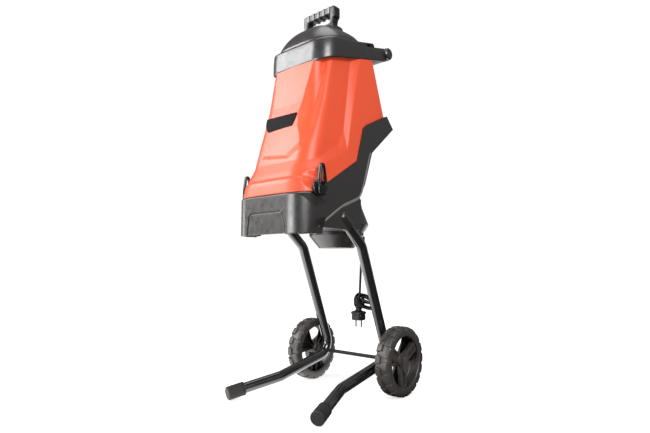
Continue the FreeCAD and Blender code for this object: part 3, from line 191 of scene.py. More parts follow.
FINISH = {  # one for each material slot of the record
    "hopper_plastic": plastic(
        "hopper_plastic", (0.87, 0.09, 0.026), 0.37, grain_depth=0.00003, mottle=0.03, coat=0.3, ior=1.58),
    "housing_plastic": plastic(
        "housing_plastic", (0.015, 0.012, 0.0105), 0.32, grain=3200.0, grain_depth=0.00005, ior=2.0),
    # The wheel plastic has painted shade in its hollows.
    "wheel_plastic": plastic(
        "wheel_plastic", (0.047, 0.040, 0.036), 0.40, grain_depth=0.00006, mottle=0.12, ior=1.7,
        hollow_shade_depth=0.035),
    "knob_plastic": plastic("knob_plastic", (0.007, 0.007, 0.007), 0.14, grain_depth=0.00001),
    "stand_paint": paint("stand_paint", (0.006, 0.0055, 0.005), 0.13),
    "black_rubber": rubber("black_rubber", (0.028, 0.026, 0.025), 0.55),
    "cord_rubber": rubber("cord_rubber", (0.008, 0.008, 0.008), 0.32),
    "plain_steel": metal("plain_steel", (0.62, 0.62, 0.63), 0.3),
    "blade_steel": metal("blade_steel", (0.66, 0.67, 0.69), 0.22, (40.0, 1.0, 1.0)),
    "disc_steel": metal("disc_steel", (0.3, 0.3, 0.31), 0.42, (1.0, 1.0, 8.0)),
    "winding": metal("winding", (0.32, 0.2, 0.12), 0.5),
    "copper": metal("copper", (0.85, 0.45, 0.25), 0.25),
    "bracket_alloy": metal("bracket_alloy", (0.7, 0.7, 0.71), 0.38),
    "badge": plastic("badge", (0.008, 0.008, 0.008), 0.5, grain_depth=0.00001, ior=1.15),
    "green_plastic": plastic("green_plastic", (0.03, 0.35, 0.07), 0.3),
    "red_plastic": plastic("red_plastic", (0.6, 0.02, 0.015), 0.3),
    "pin_metal": metal("pin_metal", (0.34, 0.31, 0.29), 0.3),
}

# Shades for single pieces, within their slots. The grip's and the wheel webs' are darker copies that paint
# shade; the ledge's is a pale copy that paints a highlight.
AXLE_FINISH = plastic("axle_paint", (0.006, 0.006, 0.006), 0.45, ior=1.35)
# Painted shade: darker than the housing plastic, for the shade between the grip's ribs.
GRIP_SHADE_FINISH = plastic("grip_painted_shade", (0.005, 0.005, 0.005), 0.34, ior=1.7)
SPOKE_FINISH = plastic("wheel_spoke_plastic", (0.062, 0.053, 0.047), 0.4, ior=1.7)
# Painted shade: a near-black copy of the wheel plastic for the webs and ribs in shadow inside the wheel.
WEB_SHADE_FINISH = plastic("wheel_web_painted_shade", (0.004, 0.004, 0.004), 0.4)
# Painted highlight: a pale grey copy of the housing plastic for the light caught along the ledge.
LEDGE_HIGHLIGHT_FINISH = plastic("ledge_painted_highlight", (0.17, 0.158, 0.15), 0.5)


# ---------------------------------------------------------------- mesh helpers

def smooth_by_angle(mesh, degrees):
    """Smooth shading, kept sharp where faces meet at more than an angle."""
    shell = bmesh.new()
    shell.from_mesh(mesh)
    for face in shell.faces:
        face.smooth = True
    limit = math.radians(degrees)
    for edge in shell.edges:
        edge.smooth = not (len(edge.link_faces) == 2 and edge.calc_face_angle(0.0) > limit)
    shell.to_mesh(mesh)
    shell.free()


def finish_piece(piece, body, slot, nodes=(), angle=35.0, material=None):
    """Shade, colour and mount one piece, with its slot's finish unless a material is given."""
    smooth_by_angle(piece.data, angle)
    piece.data.materials.clear()
    piece.data.materials.append(material or FINISH[slot])
    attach(piece, body)
    if nodes:
        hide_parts(*nodes)


def place_object(name, data):
    """A new object in the scene."""
    placed = bpy.data.objects.new(name, data)
    bpy.context.scene.collection.objects.link(placed)
    return placed


def weld(mesh, reach=1e-6, outward=False, flatten=False):
    """Join corners within a reach in metres.

    outward turns all faces out, and flatten joins flat areas to single faces.
    """
    shell = bmesh.new()
    shell.from_mesh(mesh)
    bmesh.ops.remove_doubles(shell, verts=shell.verts, dist=reach)
    if outward:
        bmesh.ops.recalc_face_normals(shell, faces=shell.faces)
    if flatten:
        bmesh.ops.dissolve_limit(shell, angle_limit=math.radians(1.0), verts=shell.verts, edges=shell.edges)
    shell.to_mesh(mesh)
    shell.free()


def mesh_piece(name, corners, faces):
    """A mesh object from corners in millimetres."""
    mesh = bpy.data.meshes.new(name)
    mesh.from_pydata([tuple(np.array(corner) * MM) for corner in corners], [], faces)
    mesh.update()
    weld(mesh, outward=True)
    return place_object(name, mesh)


def grid_faces(rows, columns, wrap_rows=False, wrap_columns=False):
    """Quads of a grid of corners stored row by row."""
    faces = []
    for row in range(rows if wrap_rows else rows - 1):
        for column in range(columns if wrap_columns else columns - 1):
            next_row = (row + 1) % rows
            next_column = (column + 1) % columns
            faces.append((
                row * columns + column, row * columns + next_column,
                next_row * columns + next_column, next_row * columns + column,
            ))
    return faces


def modifier(piece, kind, **values):
    added = piece.modifiers.new(kind.lower(), kind)
    for name, value in values.items():
        setattr(added, name, value)


def curve_mesh(name, curve):
    """The mesh of a curve."""
    holder = bpy.data.objects.new(name + "_curve", curve)
    mesh = bpy.data.meshes.new_from_object(holder)
    bpy.data.objects.remove(holder)
    return mesh


def outline_piece(name, loops, depth, bevel, matrix):
    """A flat plate with holes: 2D loops in millimetres, given a depth and rounded edges."""
    curve = bpy.data.curves.new(name, "CURVE")
    curve.dimensions = "2D"
    curve.fill_mode = "BOTH"
    curve.extrude = (depth / 2 - bevel) * MM
    curve.bevel_depth = bevel * MM
    curve.bevel_resolution = 3
    curve.offset = -bevel * MM
    for loop in loops:
        spline = curve.splines.new("POLY")
        spline.points.add(len(loop) - 1)
        for held, (u, v) in zip(spline.points, loop):
            held.co = (u * MM, v * MM, 0, 1)
        spline.use_cyclic_u = True
    mesh = curve_mesh(name, curve)
    mesh.transform(matrix)
    weld(mesh)
    return place_object(name, mesh)


def frame_matrix(origin, first, second):
    """A matrix that carries local X and Y to two directions, its origin in millimetres."""
    first = Vector(first).normalized()
    second = Vector(second).normalized()
    matrix = Matrix((first, second, first.cross(second))).transposed().to_4x4()
    matrix.translation = Vector(origin) * MM
    return matrix


def lifted(height):
    """A matrix that lifts along local Z by millimetres."""
    return Matrix.Translation((0, 0, height * MM))


def rounded_loop(corners, radius, steps=6):
    """A closed polygon with its corners rounded to a radius."""
    loop = []
    count = len(corners)
    for index in range(count):
        before, corner, after = (np.array(corners[(index + k) % count], float) for k in (-1, 0, 1))
        into = before - corner
        out = after - corner
        reach = min(radius, 0.45 * np.linalg.norm(into), 0.45 * np.linalg.norm(out))
        start = corner + into / np.linalg.norm(into) * reach
        end = corner + out / np.linalg.norm(out) * reach
        for step in range(steps + 1):
            s = step / steps
            loop.append(tuple((1 - s) ** 2 * start + 2 * s * (1 - s) * corner + s * s * end))
    return loop


def tube_piece(name, points, radius, cyclic=False):
    """A round cord through points, as a mesh."""
    curve = bpy.data.curves.new(name, "CURVE")
    curve.dimensions = "3D"
    curve.bevel_depth = radius * MM
    curve.bevel_resolution = 6
    curve.resolution_u = 12
    curve.use_fill_caps = not cyclic
    spline = curve.splines.new("NURBS")
    spline.points.add(len(points) - 1)
    for held, corner in zip(spline.points, points):
        held.co = (*(np.array(corner) * MM), 1)
    spline.order_u = 4
    spline.use_cyclic_u = cyclic
    spline.use_endpoint_u = not cyclic
    return place_object(name, curve_mesh(name, curve))


def turned_piece(name, profile, matrix, steps=64):
    """A solid of revolution about local Z from (radius, height) points in millimetres."""
    corners = [
        (radius * math.cos(angle), radius * math.sin(angle), height)
        for radius, height in profile for angle in angles(steps)]
    piece = mesh_piece(name, corners, grid_faces(len(profile), steps, wrap_columns=True))
    piece.data.transform(matrix)
    return piece


def angles(steps):
    """Even angles round a full turn."""
    return [2 * math.pi * step / steps for step in range(steps)]


def squared(angle, power):
    """Radius at an angle of a unit circle that is pulled towards a square."""
    return (abs(math.cos(angle)) ** power + abs(math.sin(angle)) ** power) ** (-1 / power)


def ease(value):
    """A smooth step from 0 to 1."""
    value = np.clip(value, 0.0, 1.0)
    return value * value * (3 - 2 * value)


def along(pairs, at):
    """Read a piecewise-linear curve given as (position, value) pairs."""
    return np.interp(at, [pair[0] for pair in pairs], [pair[1] for pair in pairs])


# ---------------------------------------------------------------- shared outlines

# Curves are (position, value) pairs: by height for the hopper's plan sizes, by y for the seam and the bands.
HALF = 118.0
SEAM = [(-230, 508), (-170, 511), (-7, 609), (25, 703), (42, 716), (136, 762)]
FRONT_FACE = [
    (500, -214), (534, -211), (542, -208.5), (548, -203), (562, -196.5), (582, -186), (592, -181),
    (600, -178.5), (640, -167), (672, -157), (750, -134), (965, -95),
]
SIDE_HALF = [(500, 108), (540, 107), (560, 106), (600, 105), (672, 103), (750, 100.5), (965, 94)]
CORNER = [(500, 50), (540, 52), (560, 50), (600, 44), (750, 38), (965, 32)]
REAR_FACE = [(500, 129), (750, 129), (965, 65)]
BAND_OUTER = [(-214, 541), (-127, 587), (-44, 628), (20, 891), (40, 975)]
BAND_INNER = [(-214, 563), (-158, 590), (-67, 645), (-42, 690), (-6, 885), (10, 975)]
BAND_RAISE = 12.0
FRONT_BOW = 1.5
HINGE = (140.0, 768.0)  # y and z of the hopper's hinge
SLOT_Y = -12.0  # middle of the feed slot and the pusher


def hood_line(y, above=0.0):
    """Height of the hood band's lower edge, or of a line that far above it."""
    return 857 + 77 * (y + 120) / 276 + above


def plan_stations(side_steps, corner_steps, front_steps):
    """(kind, share) places round the hopper, from its rear corner to its front and back again."""
    side = [("side", s) for s in np.linspace(0, 1, side_steps)]
    corner = [("corner", s) for s in np.linspace(0, 1, corner_steps)[1:]]
    front = [("front", s) for s in np.linspace(0, 1, front_steps)[1:-1]]
    half = [(1, kind, s) for kind, s in side + corner]
    other = [(-1, kind, s) for kind, s in reversed(side + corner)]
    return half + [(1, kind, s) for kind, s in front] + other


def hopper_place(station, z):
    """Plan place and outward direction of a station at a height."""
    sign, kind, share = station
    half = along(SIDE_HALF, z)
    front = along(FRONT_FACE, z)
    corner = along(CORNER, z)
    rear = along(REAR_FACE, z)
    if kind == "side":
        return sign * half, rear + (front + corner - rear) * share, sign, 0.0
    if kind == "corner":
        angle = share * math.pi / 2
        x = half - corner + corner * math.cos(angle)
        y = front + corner - corner * math.sin(angle)
        return sign * x, y, sign * math.cos(angle), -math.sin(angle)
    flat = half - corner
    x = flat * (1 - 2 * share)
    return x, front - FRONT_BOW * (1 - (x / flat) ** 2), 0.0, -1.0


# The front panel's side edges and the ridge beyond it: x by height. Its lower edge: height by x.
PANEL_LEFT = [(600, -54), (860, -71), (900, -74)]
PANEL_RIGHT = [(600, 74), (642, 72), (684, 50), (722, 41), (855, 68), (900, 77)]
RIDGE = [(600, 78), (642, 79), (720, 82), (850, 90), (900, 93)]
PANEL_LOW = [(-60, 613), (36, 602), (76, 632)]
VALLEY_DEPTH = [(636, 0), (700, 6.0), (860, 11.5)]
PANEL_RAISE = 4.6
PANEL_EDGE = 4.0
PANEL_LIP = 14.0
RIDGE_FALL = 16.0


def hopper_relief(x, z):
    """How far the skin stands out from its plain form on the front face."""
    left = along(PANEL_LEFT, z)
    right = along(PANEL_RIGHT, z)
    ridge = along(RIDGE, z)
    across = np.clip((x - right) / max(ridge - right, PANEL_EDGE), 0, 1)
    beyond = 1 - ease((x - ridge) / RIDGE_FALL)
    valley = -along(VALLEY_DEPTH, z) * across * beyond
    raised = PANEL_RAISE * ease((x - left) / PANEL_EDGE) * ease((z - along(PANEL_LOW, x) + 6) / PANEL_LIP)
    raised *= 1 - across
    return valley + raised


SCOOP = (-176, 541)  # y and z of the hollow that clears each knob's lever
SCOOP_RADIUS = 25.0
SCOOP_DEPTH = 9.0


def hopper_point(station, z):
    """A corner of the skin: the plain form with its side band, relief and knob scoop."""
    x, y, out_x, out_y = hopper_place(station, z)
    band = along(BAND_OUTER, y)
    inner = along(BAND_INNER, y)
    raise_share = float(np.clip((inner - z) / max(inner - band, 1e-6), 0, 1))
    step = BAND_RAISE * raise_share
    relief = 0.0
    if out_y < 0:
        relief = hopper_relief(x, z) * min(1.0, -out_y * 1.5)
    apart = math.hypot(y - SCOOP[0], z - SCOOP[1]) / SCOOP_RADIUS
    scoop = SCOOP_DEPTH * abs(out_x) * (1 - ease(apart ** 2))
    return (x + out_x * (step + relief - scoop), y + out_y * relief, z)


def seam_height(station, gap):
    """Height where a station meets the parting line, a gap above it, found by closing in on it."""
    z = 520.0
    for _ in range(40):
        y = hopper_place(station, z)[1]
        z = 0.5 * z + 0.5 * (along(SEAM, y) + gap)
    return z


def hopper():
    """The orange hopper shell with its raised side bands and front panel."""
    rows = 150
    columns = []
    for station in plan_stations(side_steps=120, corner_steps=22, front_steps=90):
        low = seam_height(station, gap=0.6)
        high = hood_line(hopper_place(station, 880)[1], above=22)
        columns.append([hopper_point(station, low + (high - low) * row / (rows - 1)) for row in range(rows)])
    rear_steps = 24
    first, last = columns[0], columns[-1]
    for step in range(1, rear_steps):
        share = step / rear_steps
        columns.append([
            tuple(np.array(last[row]) * (1 - share) + np.array(first[row]) * share) for row in range(rows)])
    corners = [corner for column in columns for corner in column]
    piece = mesh_piece("hopper_shell_skin", corners, grid_faces(len(columns), rows, wrap_rows=True))
    modifier(piece, "SOLIDIFY", thickness=2.6 * MM, offset=-1.0, use_even_offset=False)
    finish_piece(piece, "hopper", "hopper_plastic", ["hopper_shell"], 40.0)


def hopper_knuckles():
    """The hopper's two hinge knuckles."""
    for name, low in (("hinge_knuckle_left", 71), ("hinge_knuckle_right", -81)):
        matrix = frame_matrix((low, *HINGE), BACK, UP)
        knuckle = turned_piece(
            name, [(3.7, 0), (6, 0), (7, 1), (7, 9), (6, 10), (3.7, 10), (3.7, 0)], matrix, 40)
        finish_piece(knuckle, "hopper", "hopper_plastic")
        web = outline_piece(
            name + "_web", [rounded_loop([(125, 766), (136, 764), (138, 774.5), (125, 780)], 2)], 9.6, 1,
            frame_matrix((low + 5, 0, 0), BACK, UP))
        finish_piece(web, "hopper", "hopper_plastic")


# ---------------------------------------------------------------- hood

HOOD_HALF = 109.0
HOOD_FRONT = -120.0
HOOD_CORNER = 50.0
ARM_END = 150.0
BAND_WALL = 3.4
ARM_EXTRA = 8.6
ARM_START = 86.0


def hood_outline():
    """Plan line and outward direction of the band, from one arm's end round the front to the other's."""
    flat = HOOD_HALF - HOOD_CORNER
    bend = HOOD_FRONT + HOOD_CORNER
    line = [(HOOD_HALF, ARM_END + (bend - ARM_END) * s, 1.0, 0.0) for s in np.linspace(0, 1, 60)]
    for s in np.linspace(0, 1, 18)[1:]:
        u, v = math.cos(s * math.pi / 2), -math.sin(s * math.pi / 2)
        line.append((flat + HOOD_CORNER * u, bend + HOOD_CORNER * v, u, v))
    line += [(flat * (1 - s), HOOD_FRONT, 0.0, -1.0) for s in np.linspace(0, 1, 16)[1:]]
    mirror = [(-x, y, -u, v) for x, y, u, v in reversed(line[:-1])]
    return line + mirror


def band_height(y):
    """Height of the band's side: it shrinks to the rear and steps down where the arms begin."""
    return 59 - 8 * ease((y + 120) / 170.0) - 11 * ease((y - 52) / 10.0)


def hood_band():
    """The tilted band round the hopper's top, running back into two arms."""
    columns = []
    for x, y, u, v in hood_outline():
        height = band_height(y)
        thick = BAND_WALL + ARM_EXTRA * ease((y - ARM_START) / 10.0)
        low = hood_line(y)
        profile = [
            (-thick + 1, 0), (-1.2, 0), (0.2, 1.4), (0.6, 5), (0.2, height * 0.5), (-1.0, height - 7),
            (-2.2, height - 3.0), (-4.6, height - 0.6), (-8.0 if y < 80 else -thick + 1.5, height),
            (-thick, height - 3), (-thick, 2),
        ]
        columns.append([(x + u * out, y + v * out, low + up) for out, up in profile])
    across = len(columns[0])
    corners = [corner for column in columns for corner in column]
    faces = grid_faces(len(columns), across, wrap_columns=True)
    faces.append(tuple(range(across)))
    last = (len(columns) - 1) * across
    faces.append(tuple(range(last + across - 1, last - 1, -1)))
    piece = mesh_piece("hood_band", corners, faces)
    finish_piece(piece, "hopper", "housing_plastic", ["hood"], 40.0)


DOME_TOP = 993.0
DOME_RIM = 935.0
DOME_Y = -22.0
DOME_WIDE = 104.5
DOME_DEEP = 91.0
DOME_SQUARE = 3.2
DOME_CROWN = 2.4
DOME_SHOULDER = 0.72


def hood_dome():
    """The crowned top between the band's rim and the feed slot."""
    rings = 40
    steps = 160
    corners = []
    for ring in range(rings + 1):
        share = ring / rings
        for angle in angles(steps):
            reach = squared(angle, DOME_SQUARE) * share
            x = DOME_WIDE * reach * math.cos(angle)
            y = DOME_Y + DOME_DEEP * reach * math.sin(angle)
            rim = hood_line(y, band_height(y) - 3)
            lift = (DOME_TOP - DOME_RIM) * (1 - share ** DOME_CROWN) ** DOME_SHOULDER
            corners.append((x, y, rim * share ** 2 + DOME_RIM * (1 - share ** 2) + lift))
    piece = mesh_piece("hood_dome", corners, grid_faces(rings + 1, steps, wrap_columns=True))
    modifier(piece, "SOLIDIFY", thickness=2.5 * MM, offset=-1.0)
    finish_piece(piece, "hopper", "housing_plastic", (), 40.0)


def hood_deck():
    """The flat roof behind the dome and the wall below it."""
    low_y = 40.0
    rear_y = 95.0
    half = HOOD_HALF - 3.0
    top = [
        (low_y, hood_line(low_y, 50)), (86, hood_line(86, 50)), (rear_y - 1, hood_line(92, 46)),
        (rear_y, hood_line(rear_y, 40)), (rear_y, hood_line(rear_y, 4)), (rear_y - 3, hood_line(rear_y, 4)),
        (rear_y - 3, hood_line(rear_y, 40)), (84, hood_line(86, 46)), (low_y, hood_line(low_y, 46))]
    piece = outline_piece("hood_deck", [top], half * 2, 0.6, frame_matrix((0, 0, 0), BACK, UP))
    finish_piece(piece, "hopper", "housing_plastic")


def slot_collar():
    """The raised rim round the feed slot."""
    corners = []
    outer = rounded_loop([(-61, -41), (61, -41), (61, 17), (-61, 17)], 14, 8)
    inner = rounded_loop([(-56, -38), (56, -38), (56, 14), (-56, 14)], 9, 8)
    rows = [  # loop, height, growth outwards
        (outer, 970, 3.0), (outer, 984, 1.5), (outer, 988, 0.4), (outer, 989.6, -1.0), (inner, 989.6, -1),
        (inner, 988, 0), (inner, 945, 0)]
    for loop, z, grow in rows:
        for x, y in loop:
            away = Vector((x, y - SLOT_Y)).normalized()
            corners.append((x + away.x * grow, y + away.y * grow, z))
    piece = mesh_piece("feed_slot_collar", corners, grid_faces(len(rows), len(outer), wrap_columns=True))
    finish_piece(piece, "hopper", "housing_plastic", (), 50.0)


BAR_END = (97.0, 156.0, 955.0)  # inner face of the left boss


def arm_ends():
    """Round bosses at the arms' ends that hold the transport bar."""
    profile = [(9.2, 0), (16.5, 0), (18, 1.5), (18, 10.5), (16.5, 12), (9.2, 12), (9.2, 0)]
    x, y, z = BAR_END
    for word, side in SIDES:
        matrix = frame_matrix((x * side, y, z), (0, side, 0), UP)
        boss = turned_piece(f"arm_boss_{word}", profile, matrix, 56)
        finish_piece(boss, "hopper", "housing_plastic")


# ---------------------------------------------------------------- pusher

def pusher_handle():
    """The ribbed U-handle on its oval lid."""
    lid_loop = rounded_loop([(-60, -27), (60, -27), (60, 27), (-60, 27)], 13, 8)
    lid = outline_piece("pusher_lid", [lid_loop], 4, 1.2, frame_matrix((0, SLOT_Y, 992.2), LEFT, BACK))
    finish_piece(lid, "pusher", "housing_plastic", ["pusher_handle"])
    outer = [
        (-53, 992), (-56, 1019), (-58, 1022), (-58, 1047), (-54, 1051), (55, 1051), (58, 1048), (58, 1020),
        (53, 1017), (47, 992), (36, 992), (41, 1017), (40, 1032), (-40, 1032), (-43, 1017), (-41, 992)]
    upright = frame_matrix((0, SLOT_Y, 0), LEFT, UP)
    grip = outline_piece("pusher_grip", [rounded_loop(outer, 4, 5)], 25, 3, upright)
    # The grip's darker finish paints the shade between its ribs.
    finish_piece(grip, "pusher", "housing_plastic", (), 45.0, GRIP_SHADE_FINISH)
    for index in range(5):
        x = -38 + 19 * index
        ring = rounded_loop([(x - 4.6, 1030.6), (x + 4.6, 1030.6), (x + 4.6, 1050.9), (x - 4.6, 1050.9)], 2)
        rib = outline_piece(f"grip_rib_{index}", [ring], 28.5, 1.8, upright)
        finish_piece(rib, "pusher", "housing_plastic", (), 45.0)


# ---------------------------------------------------------------- base

def base():
    """The black lower housing: a copy of the CAD shape with softened edges."""
    mesh = frame["nodes"]["base_housing"].data.copy()
    weld(mesh, 1e-5, flatten=True)
    piece = place_object("base_housing_skin", mesh)
    modifier(
        piece, "BEVEL", width=1.6 * MM, segments=3, limit_method="ANGLE", angle_limit=math.radians(25.0),
        harden_normals=False, use_clamp_overlap=True)
    finish_piece(piece, "stand", "housing_plastic", ["base_housing"], 30.0)


SKIRT_LOW = 414.5
SKIRT_RAISE = 3.0
SKIRT_FADE = (455.0, 30.0)  # height where the raise starts to fade below, and over how far
ARCH_LEFT = [(414, -66), (461, -60), (468, -53)]
ARCH_RIGHT = [(414, 75), (461, 60), (468, 51)]
ARCH_TOP = 468.0
ARCH_DEPTH = 1.2
GROOVE_DEPTH = 2.9
GROOVE_WIDTH = 5.0
CREASE = [(414, -142), (474, -132), (509, -187)]
CREASE_RAISE = 3.5
SKIRT_CORNER = 50.0
SKIRT_FRONT = -214.0


def skirt_place(run):
    """Plan place and outward direction at a distance round the base from the middle of its front."""
    flat = HALF - SKIRT_CORNER
    bend = SKIRT_CORNER * math.pi / 2
    if run < flat:
        return run, SKIRT_FRONT, 0.0, -1.0
    angle = min(run - flat, bend) / SKIRT_CORNER
    x = flat + SKIRT_CORNER * math.sin(angle)
    y = SKIRT_FRONT + SKIRT_CORNER * (1 - math.cos(angle))
    return x, y + max(0.0, run - flat - bend), math.sin(angle), -math.cos(angle)


def skirt_run(y):
    """Distance round the base at which its side reaches a place y."""
    flat = HALF - SKIRT_CORNER
    into = y - SKIRT_FRONT
    if into > SKIRT_CORNER:
        return flat + SKIRT_CORNER * math.pi / 2 + into - SKIRT_CORNER
    return flat + SKIRT_CORNER * math.acos(1 - into / SKIRT_CORNER)


def skirt_out(x, front, z, share, high):
    """How far the skirt's skin stands out. share is 0 at the middle of the front and 1 at the crease."""
    out = SKIRT_RAISE * ease((high - z) / 3.0)
    low_part = ease((SKIRT_FADE[0] - z) / SKIRT_FADE[1])
    out *= 1 - low_part * ease((share - 0.7) / 0.25)
    out += CREASE_RAISE * (1 - low_part) * np.clip((share - 0.78) / 0.22, 0, 1)
    if front:
        inside = min(x - along(ARCH_LEFT, z), along(ARCH_RIGHT, z) - x, ARCH_TOP - z)
        out -= ARCH_DEPTH * ease(inside / 2.0)
        out -= GROOVE_DEPTH * ease(inside / 1.4) * ease((GROOVE_WIDTH - inside) / 1.4)
    return out


def skirt_skin():
    """The front wall and corners of the base: grooved round the arch, ending at the side creases.

    The last column of each side repeats the crease's place, sunk into the base, which closes the step.
    """
    rows = 110
    shares = list(np.linspace(0, 1, 150))
    columns = []
    for sign in (1, -1):
        half = []
        for share in shares + [1.0]:
            sunk = len(half) == len(shares)
            column = []
            for row in np.linspace(0, 1, rows):
                z = SKIRT_LOW + (507.5 - SKIRT_LOW) * row
                x, y, u, v = skirt_place(share * skirt_run(along(CREASE, z)))
                high = along(SEAM, y) - 1.2
                z = SKIRT_LOW + (high - SKIRT_LOW) * row
                out = -4.0 if sunk else skirt_out(sign * x, v == -1.0, z, share, high)
                column.append((sign * (x + u * out), y + v * out, z))
            half.append(column)
        columns = [*reversed(half), *columns[1:]] if sign == -1 else half
    corners = [corner for column in columns for corner in column]
    piece = mesh_piece("skirt_skin", corners, grid_faces(len(columns), rows))
    modifier(piece, "SOLIDIFY", thickness=1.4 * MM, offset=-1.0)
    finish_piece(piece, "stand", "housing_plastic", (), 30.0)


LEDGE = [
    (-172, 416), (-139, 436), (-63, 484), (-4, 506), (8, 514), (20, 531), (39, 584), (50, 615), (59, 640)]
LEDGE_SECTION = [(-9, -3), (-7, -3.5), (1.2, 3.5), (1.6, 5.0), (0.3, 8.0), (-9, 8.0)]  # outwards, across


def ledge_ribs():
    """The lip along the lower edge of each side wall, tapered at both ends, pale with a painted highlight."""
    for word, side in SIDES:
        line = np.array(LEDGE, float)
        dense = []
        for start, end in zip(line, line[1:]):
            for share in np.linspace(0, 1, 8, endpoint=False):
                dense.append(start * (1 - share) + end * share)
        dense = np.array(dense + [line[-1]])
        for _ in range(6):
            dense[1:-1] = 0.25 * dense[:-2] + 0.5 * dense[1:-1] + 0.25 * dense[2:]
        corners = []
        count = len(dense)
        for index, (y, z) in enumerate(dense):
            step = dense[min(index + 1, count - 1)] - dense[max(index - 1, 0)]
            step = step / np.linalg.norm(step)
            up = np.array((-step[1], step[0]))
            taper = ease(index / 8) * ease((count - 1 - index) / 10)
            for out, shift in LEDGE_SECTION:
                out *= taper if out > 1 else 1
                corners.append((side * (HALF + out), y + up[0] * shift, z + up[1] * shift))
        faces = grid_faces(count, 6, wrap_columns=True)
        faces.append(tuple(range(6)))
        faces.append(tuple(range(6 * count - 1, 6 * count - 7, -1)))
        rib = mesh_piece(f"ledge_rib_{word}", corners, faces)
        # The ledge's pale finish paints the highlight along it.
        finish_piece(rib, "stand", "housing_plastic", (), 50.0, LEDGE_HIGHLIGHT_FINISH)


BOSS_PLACE = (104.5, -56.0, 462.0)
BOSS_RADIUS = 17.4
BOSS_DOME = 13.0
BOSS_LOW = -14.0


def tube_bosses():
    """Rounded bosses over the stand tubes' upper ends, where they enter the base."""
    rise = np.linspace(0, math.pi / 2 - 0.05, 12)[1:]
    profile = [(BOSS_RADIUS, BOSS_LOW), (BOSS_RADIUS, 0)]
    profile += [(BOSS_RADIUS * math.cos(a), BOSS_DOME * math.sin(a)) for a in rise]
    profile += [(0, BOSS_DOME), (0, BOSS_LOW), (BOSS_RADIUS, BOSS_LOW)]
    down = Vector((0, 83, -69)).normalized()  # the way the tube runs from its upper end
    x, y, z = BOSS_PLACE
    for word, side in SIDES:
        matrix = frame_matrix((x * side, y, z), LEFT, down.cross(Vector(LEFT)))
        if matrix.col[2].to_3d().dot(down) > 0:
            matrix = matrix @ Matrix.Rotation(math.pi, 4, "X")
        boss = turned_piece(f"tube_boss_{word}", profile, matrix, 56)
        finish_piece(boss, "stand", "housing_plastic", (), 50.0)


# ---------------------------------------------------------------- wheels

WHEEL_CENTRE = (133.5, 124.0, 90.0)  # inner end of the left wheel's hub line
WHEEL_W = 44.0
LUGS = 18
LUG_RISE = 4.4
LUG_WIDTH = (0.72, 0.14)  # share of the pitch at the shoulder, and what it loses towards the middle


def wheel_ring(name, matrix):
    """The lugged tread and both sidewalls."""
    profile = [
        (67, 12), (65.5, 3.5), (67, 1.4), (71, 0.6), (79, 1.0), (82.0, 2.6), (84.6, 5.6), (85.4, 10),
        (85.6, 21.2), (85.6, 22), (85.6, 22.8), (85.4, 34), (84.6, 38.4), (82.0, 41.4), (79, 43),
        (71, 43.4), (67, 42.6), (65.5, 40.5), (67, 31), (69, 29), (69, 14),
    ]
    dense = []
    for start, end in zip(profile, profile[1:] + profile[:1]):
        gap = math.dist(start, end)
        cuts = max(1, int(gap / 2.2))
        for cut in range(cuts):
            share = cut / cuts
            dense.append((start[0] + (end[0] - start[0]) * share, start[1] + (end[1] - start[1]) * share))
    steps = 720
    corners = []
    pitch = 2 * math.pi / LUGS
    for radius, height in dense:
        for angle in angles(steps):
            outer_half = height > WHEEL_W / 2
            place = (angle / pitch + (0.5 if outer_half else 0.0)) % 1.0
            off = abs(place - 0.5) * 2
            reach = min(height, WHEEL_W - height)
            width = LUG_WIDTH[0] - LUG_WIDTH[1] * ease((reach - 9) / 8.0)
            lug = 1 - ease((off - width + 0.03) / 0.06)
            lug *= ease((radius - 79) / 2.5) * (1 - ease((reach - 19.0) / 1.2))
            grown = radius + LUG_RISE * lug if radius > 76 else radius
            corners.append((grown * math.cos(angle), grown * math.sin(angle), height))
    piece = mesh_piece(name, corners, grid_faces(len(dense), steps, wrap_rows=True, wrap_columns=True))
    piece.data.transform(matrix)
    return piece


def wheel_spokes(name, matrix):
    """Three forked spokes between hub and rim, and the webs and ribs behind them."""
    loop = rounded_loop([(4, -14), (40, -11.5), (69, -14), (70.5, 0), (69, 14), (40, 11.5), (4, 14)], 5, 4)
    hole = rounded_loop([(28, -6.5), (60, -8), (61, 0), (60, 8), (28, 6.5)], 2.5, 4)
    floor_loop = rounded_loop([(24, -9), (63, -10), (63, 10), (24, 9)], 2, 3)
    fan = [(68 * math.cos(a), 68 * math.sin(a)) for a in np.linspace(-0.66, 0.66, 17)]
    fan += [(15 * math.cos(a), 15 * math.sin(a)) for a in np.linspace(0.66, -0.66, 9)]
    line = [(16, -1.3), (67.5, -1.3), (67.5, 1.3), (16, 1.3)]
    arms = []
    webs = []
    for index in range(3):
        turn = matrix @ Matrix.Rotation(2 * math.pi * index / 3 - math.pi / 2, 4, "Z")
        arms.append(outline_piece(f"{name}_{index}", [loop, hole], 13, 1.4, turn @ lifted(29)))
        arms.append(outline_piece(f"{name}_{index}_channel", [floor_loop], 5, 0.6, turn @ lifted(26.5)))
        webs.append(outline_piece(f"{name}_{index}_fan", [fan], 3, 0.6, turn @ lifted(15.5)))
        for tag, lean in (("a", -0.42), ("b", 0.0), ("c", 0.42)):
            rib = turn @ Matrix.Rotation(lean, 4, "Z") @ lifted(11)
            webs.append(outline_piece(f"{name}_{index}_rib_{tag}", [line], 8, 0.5, rib))
    return arms, webs


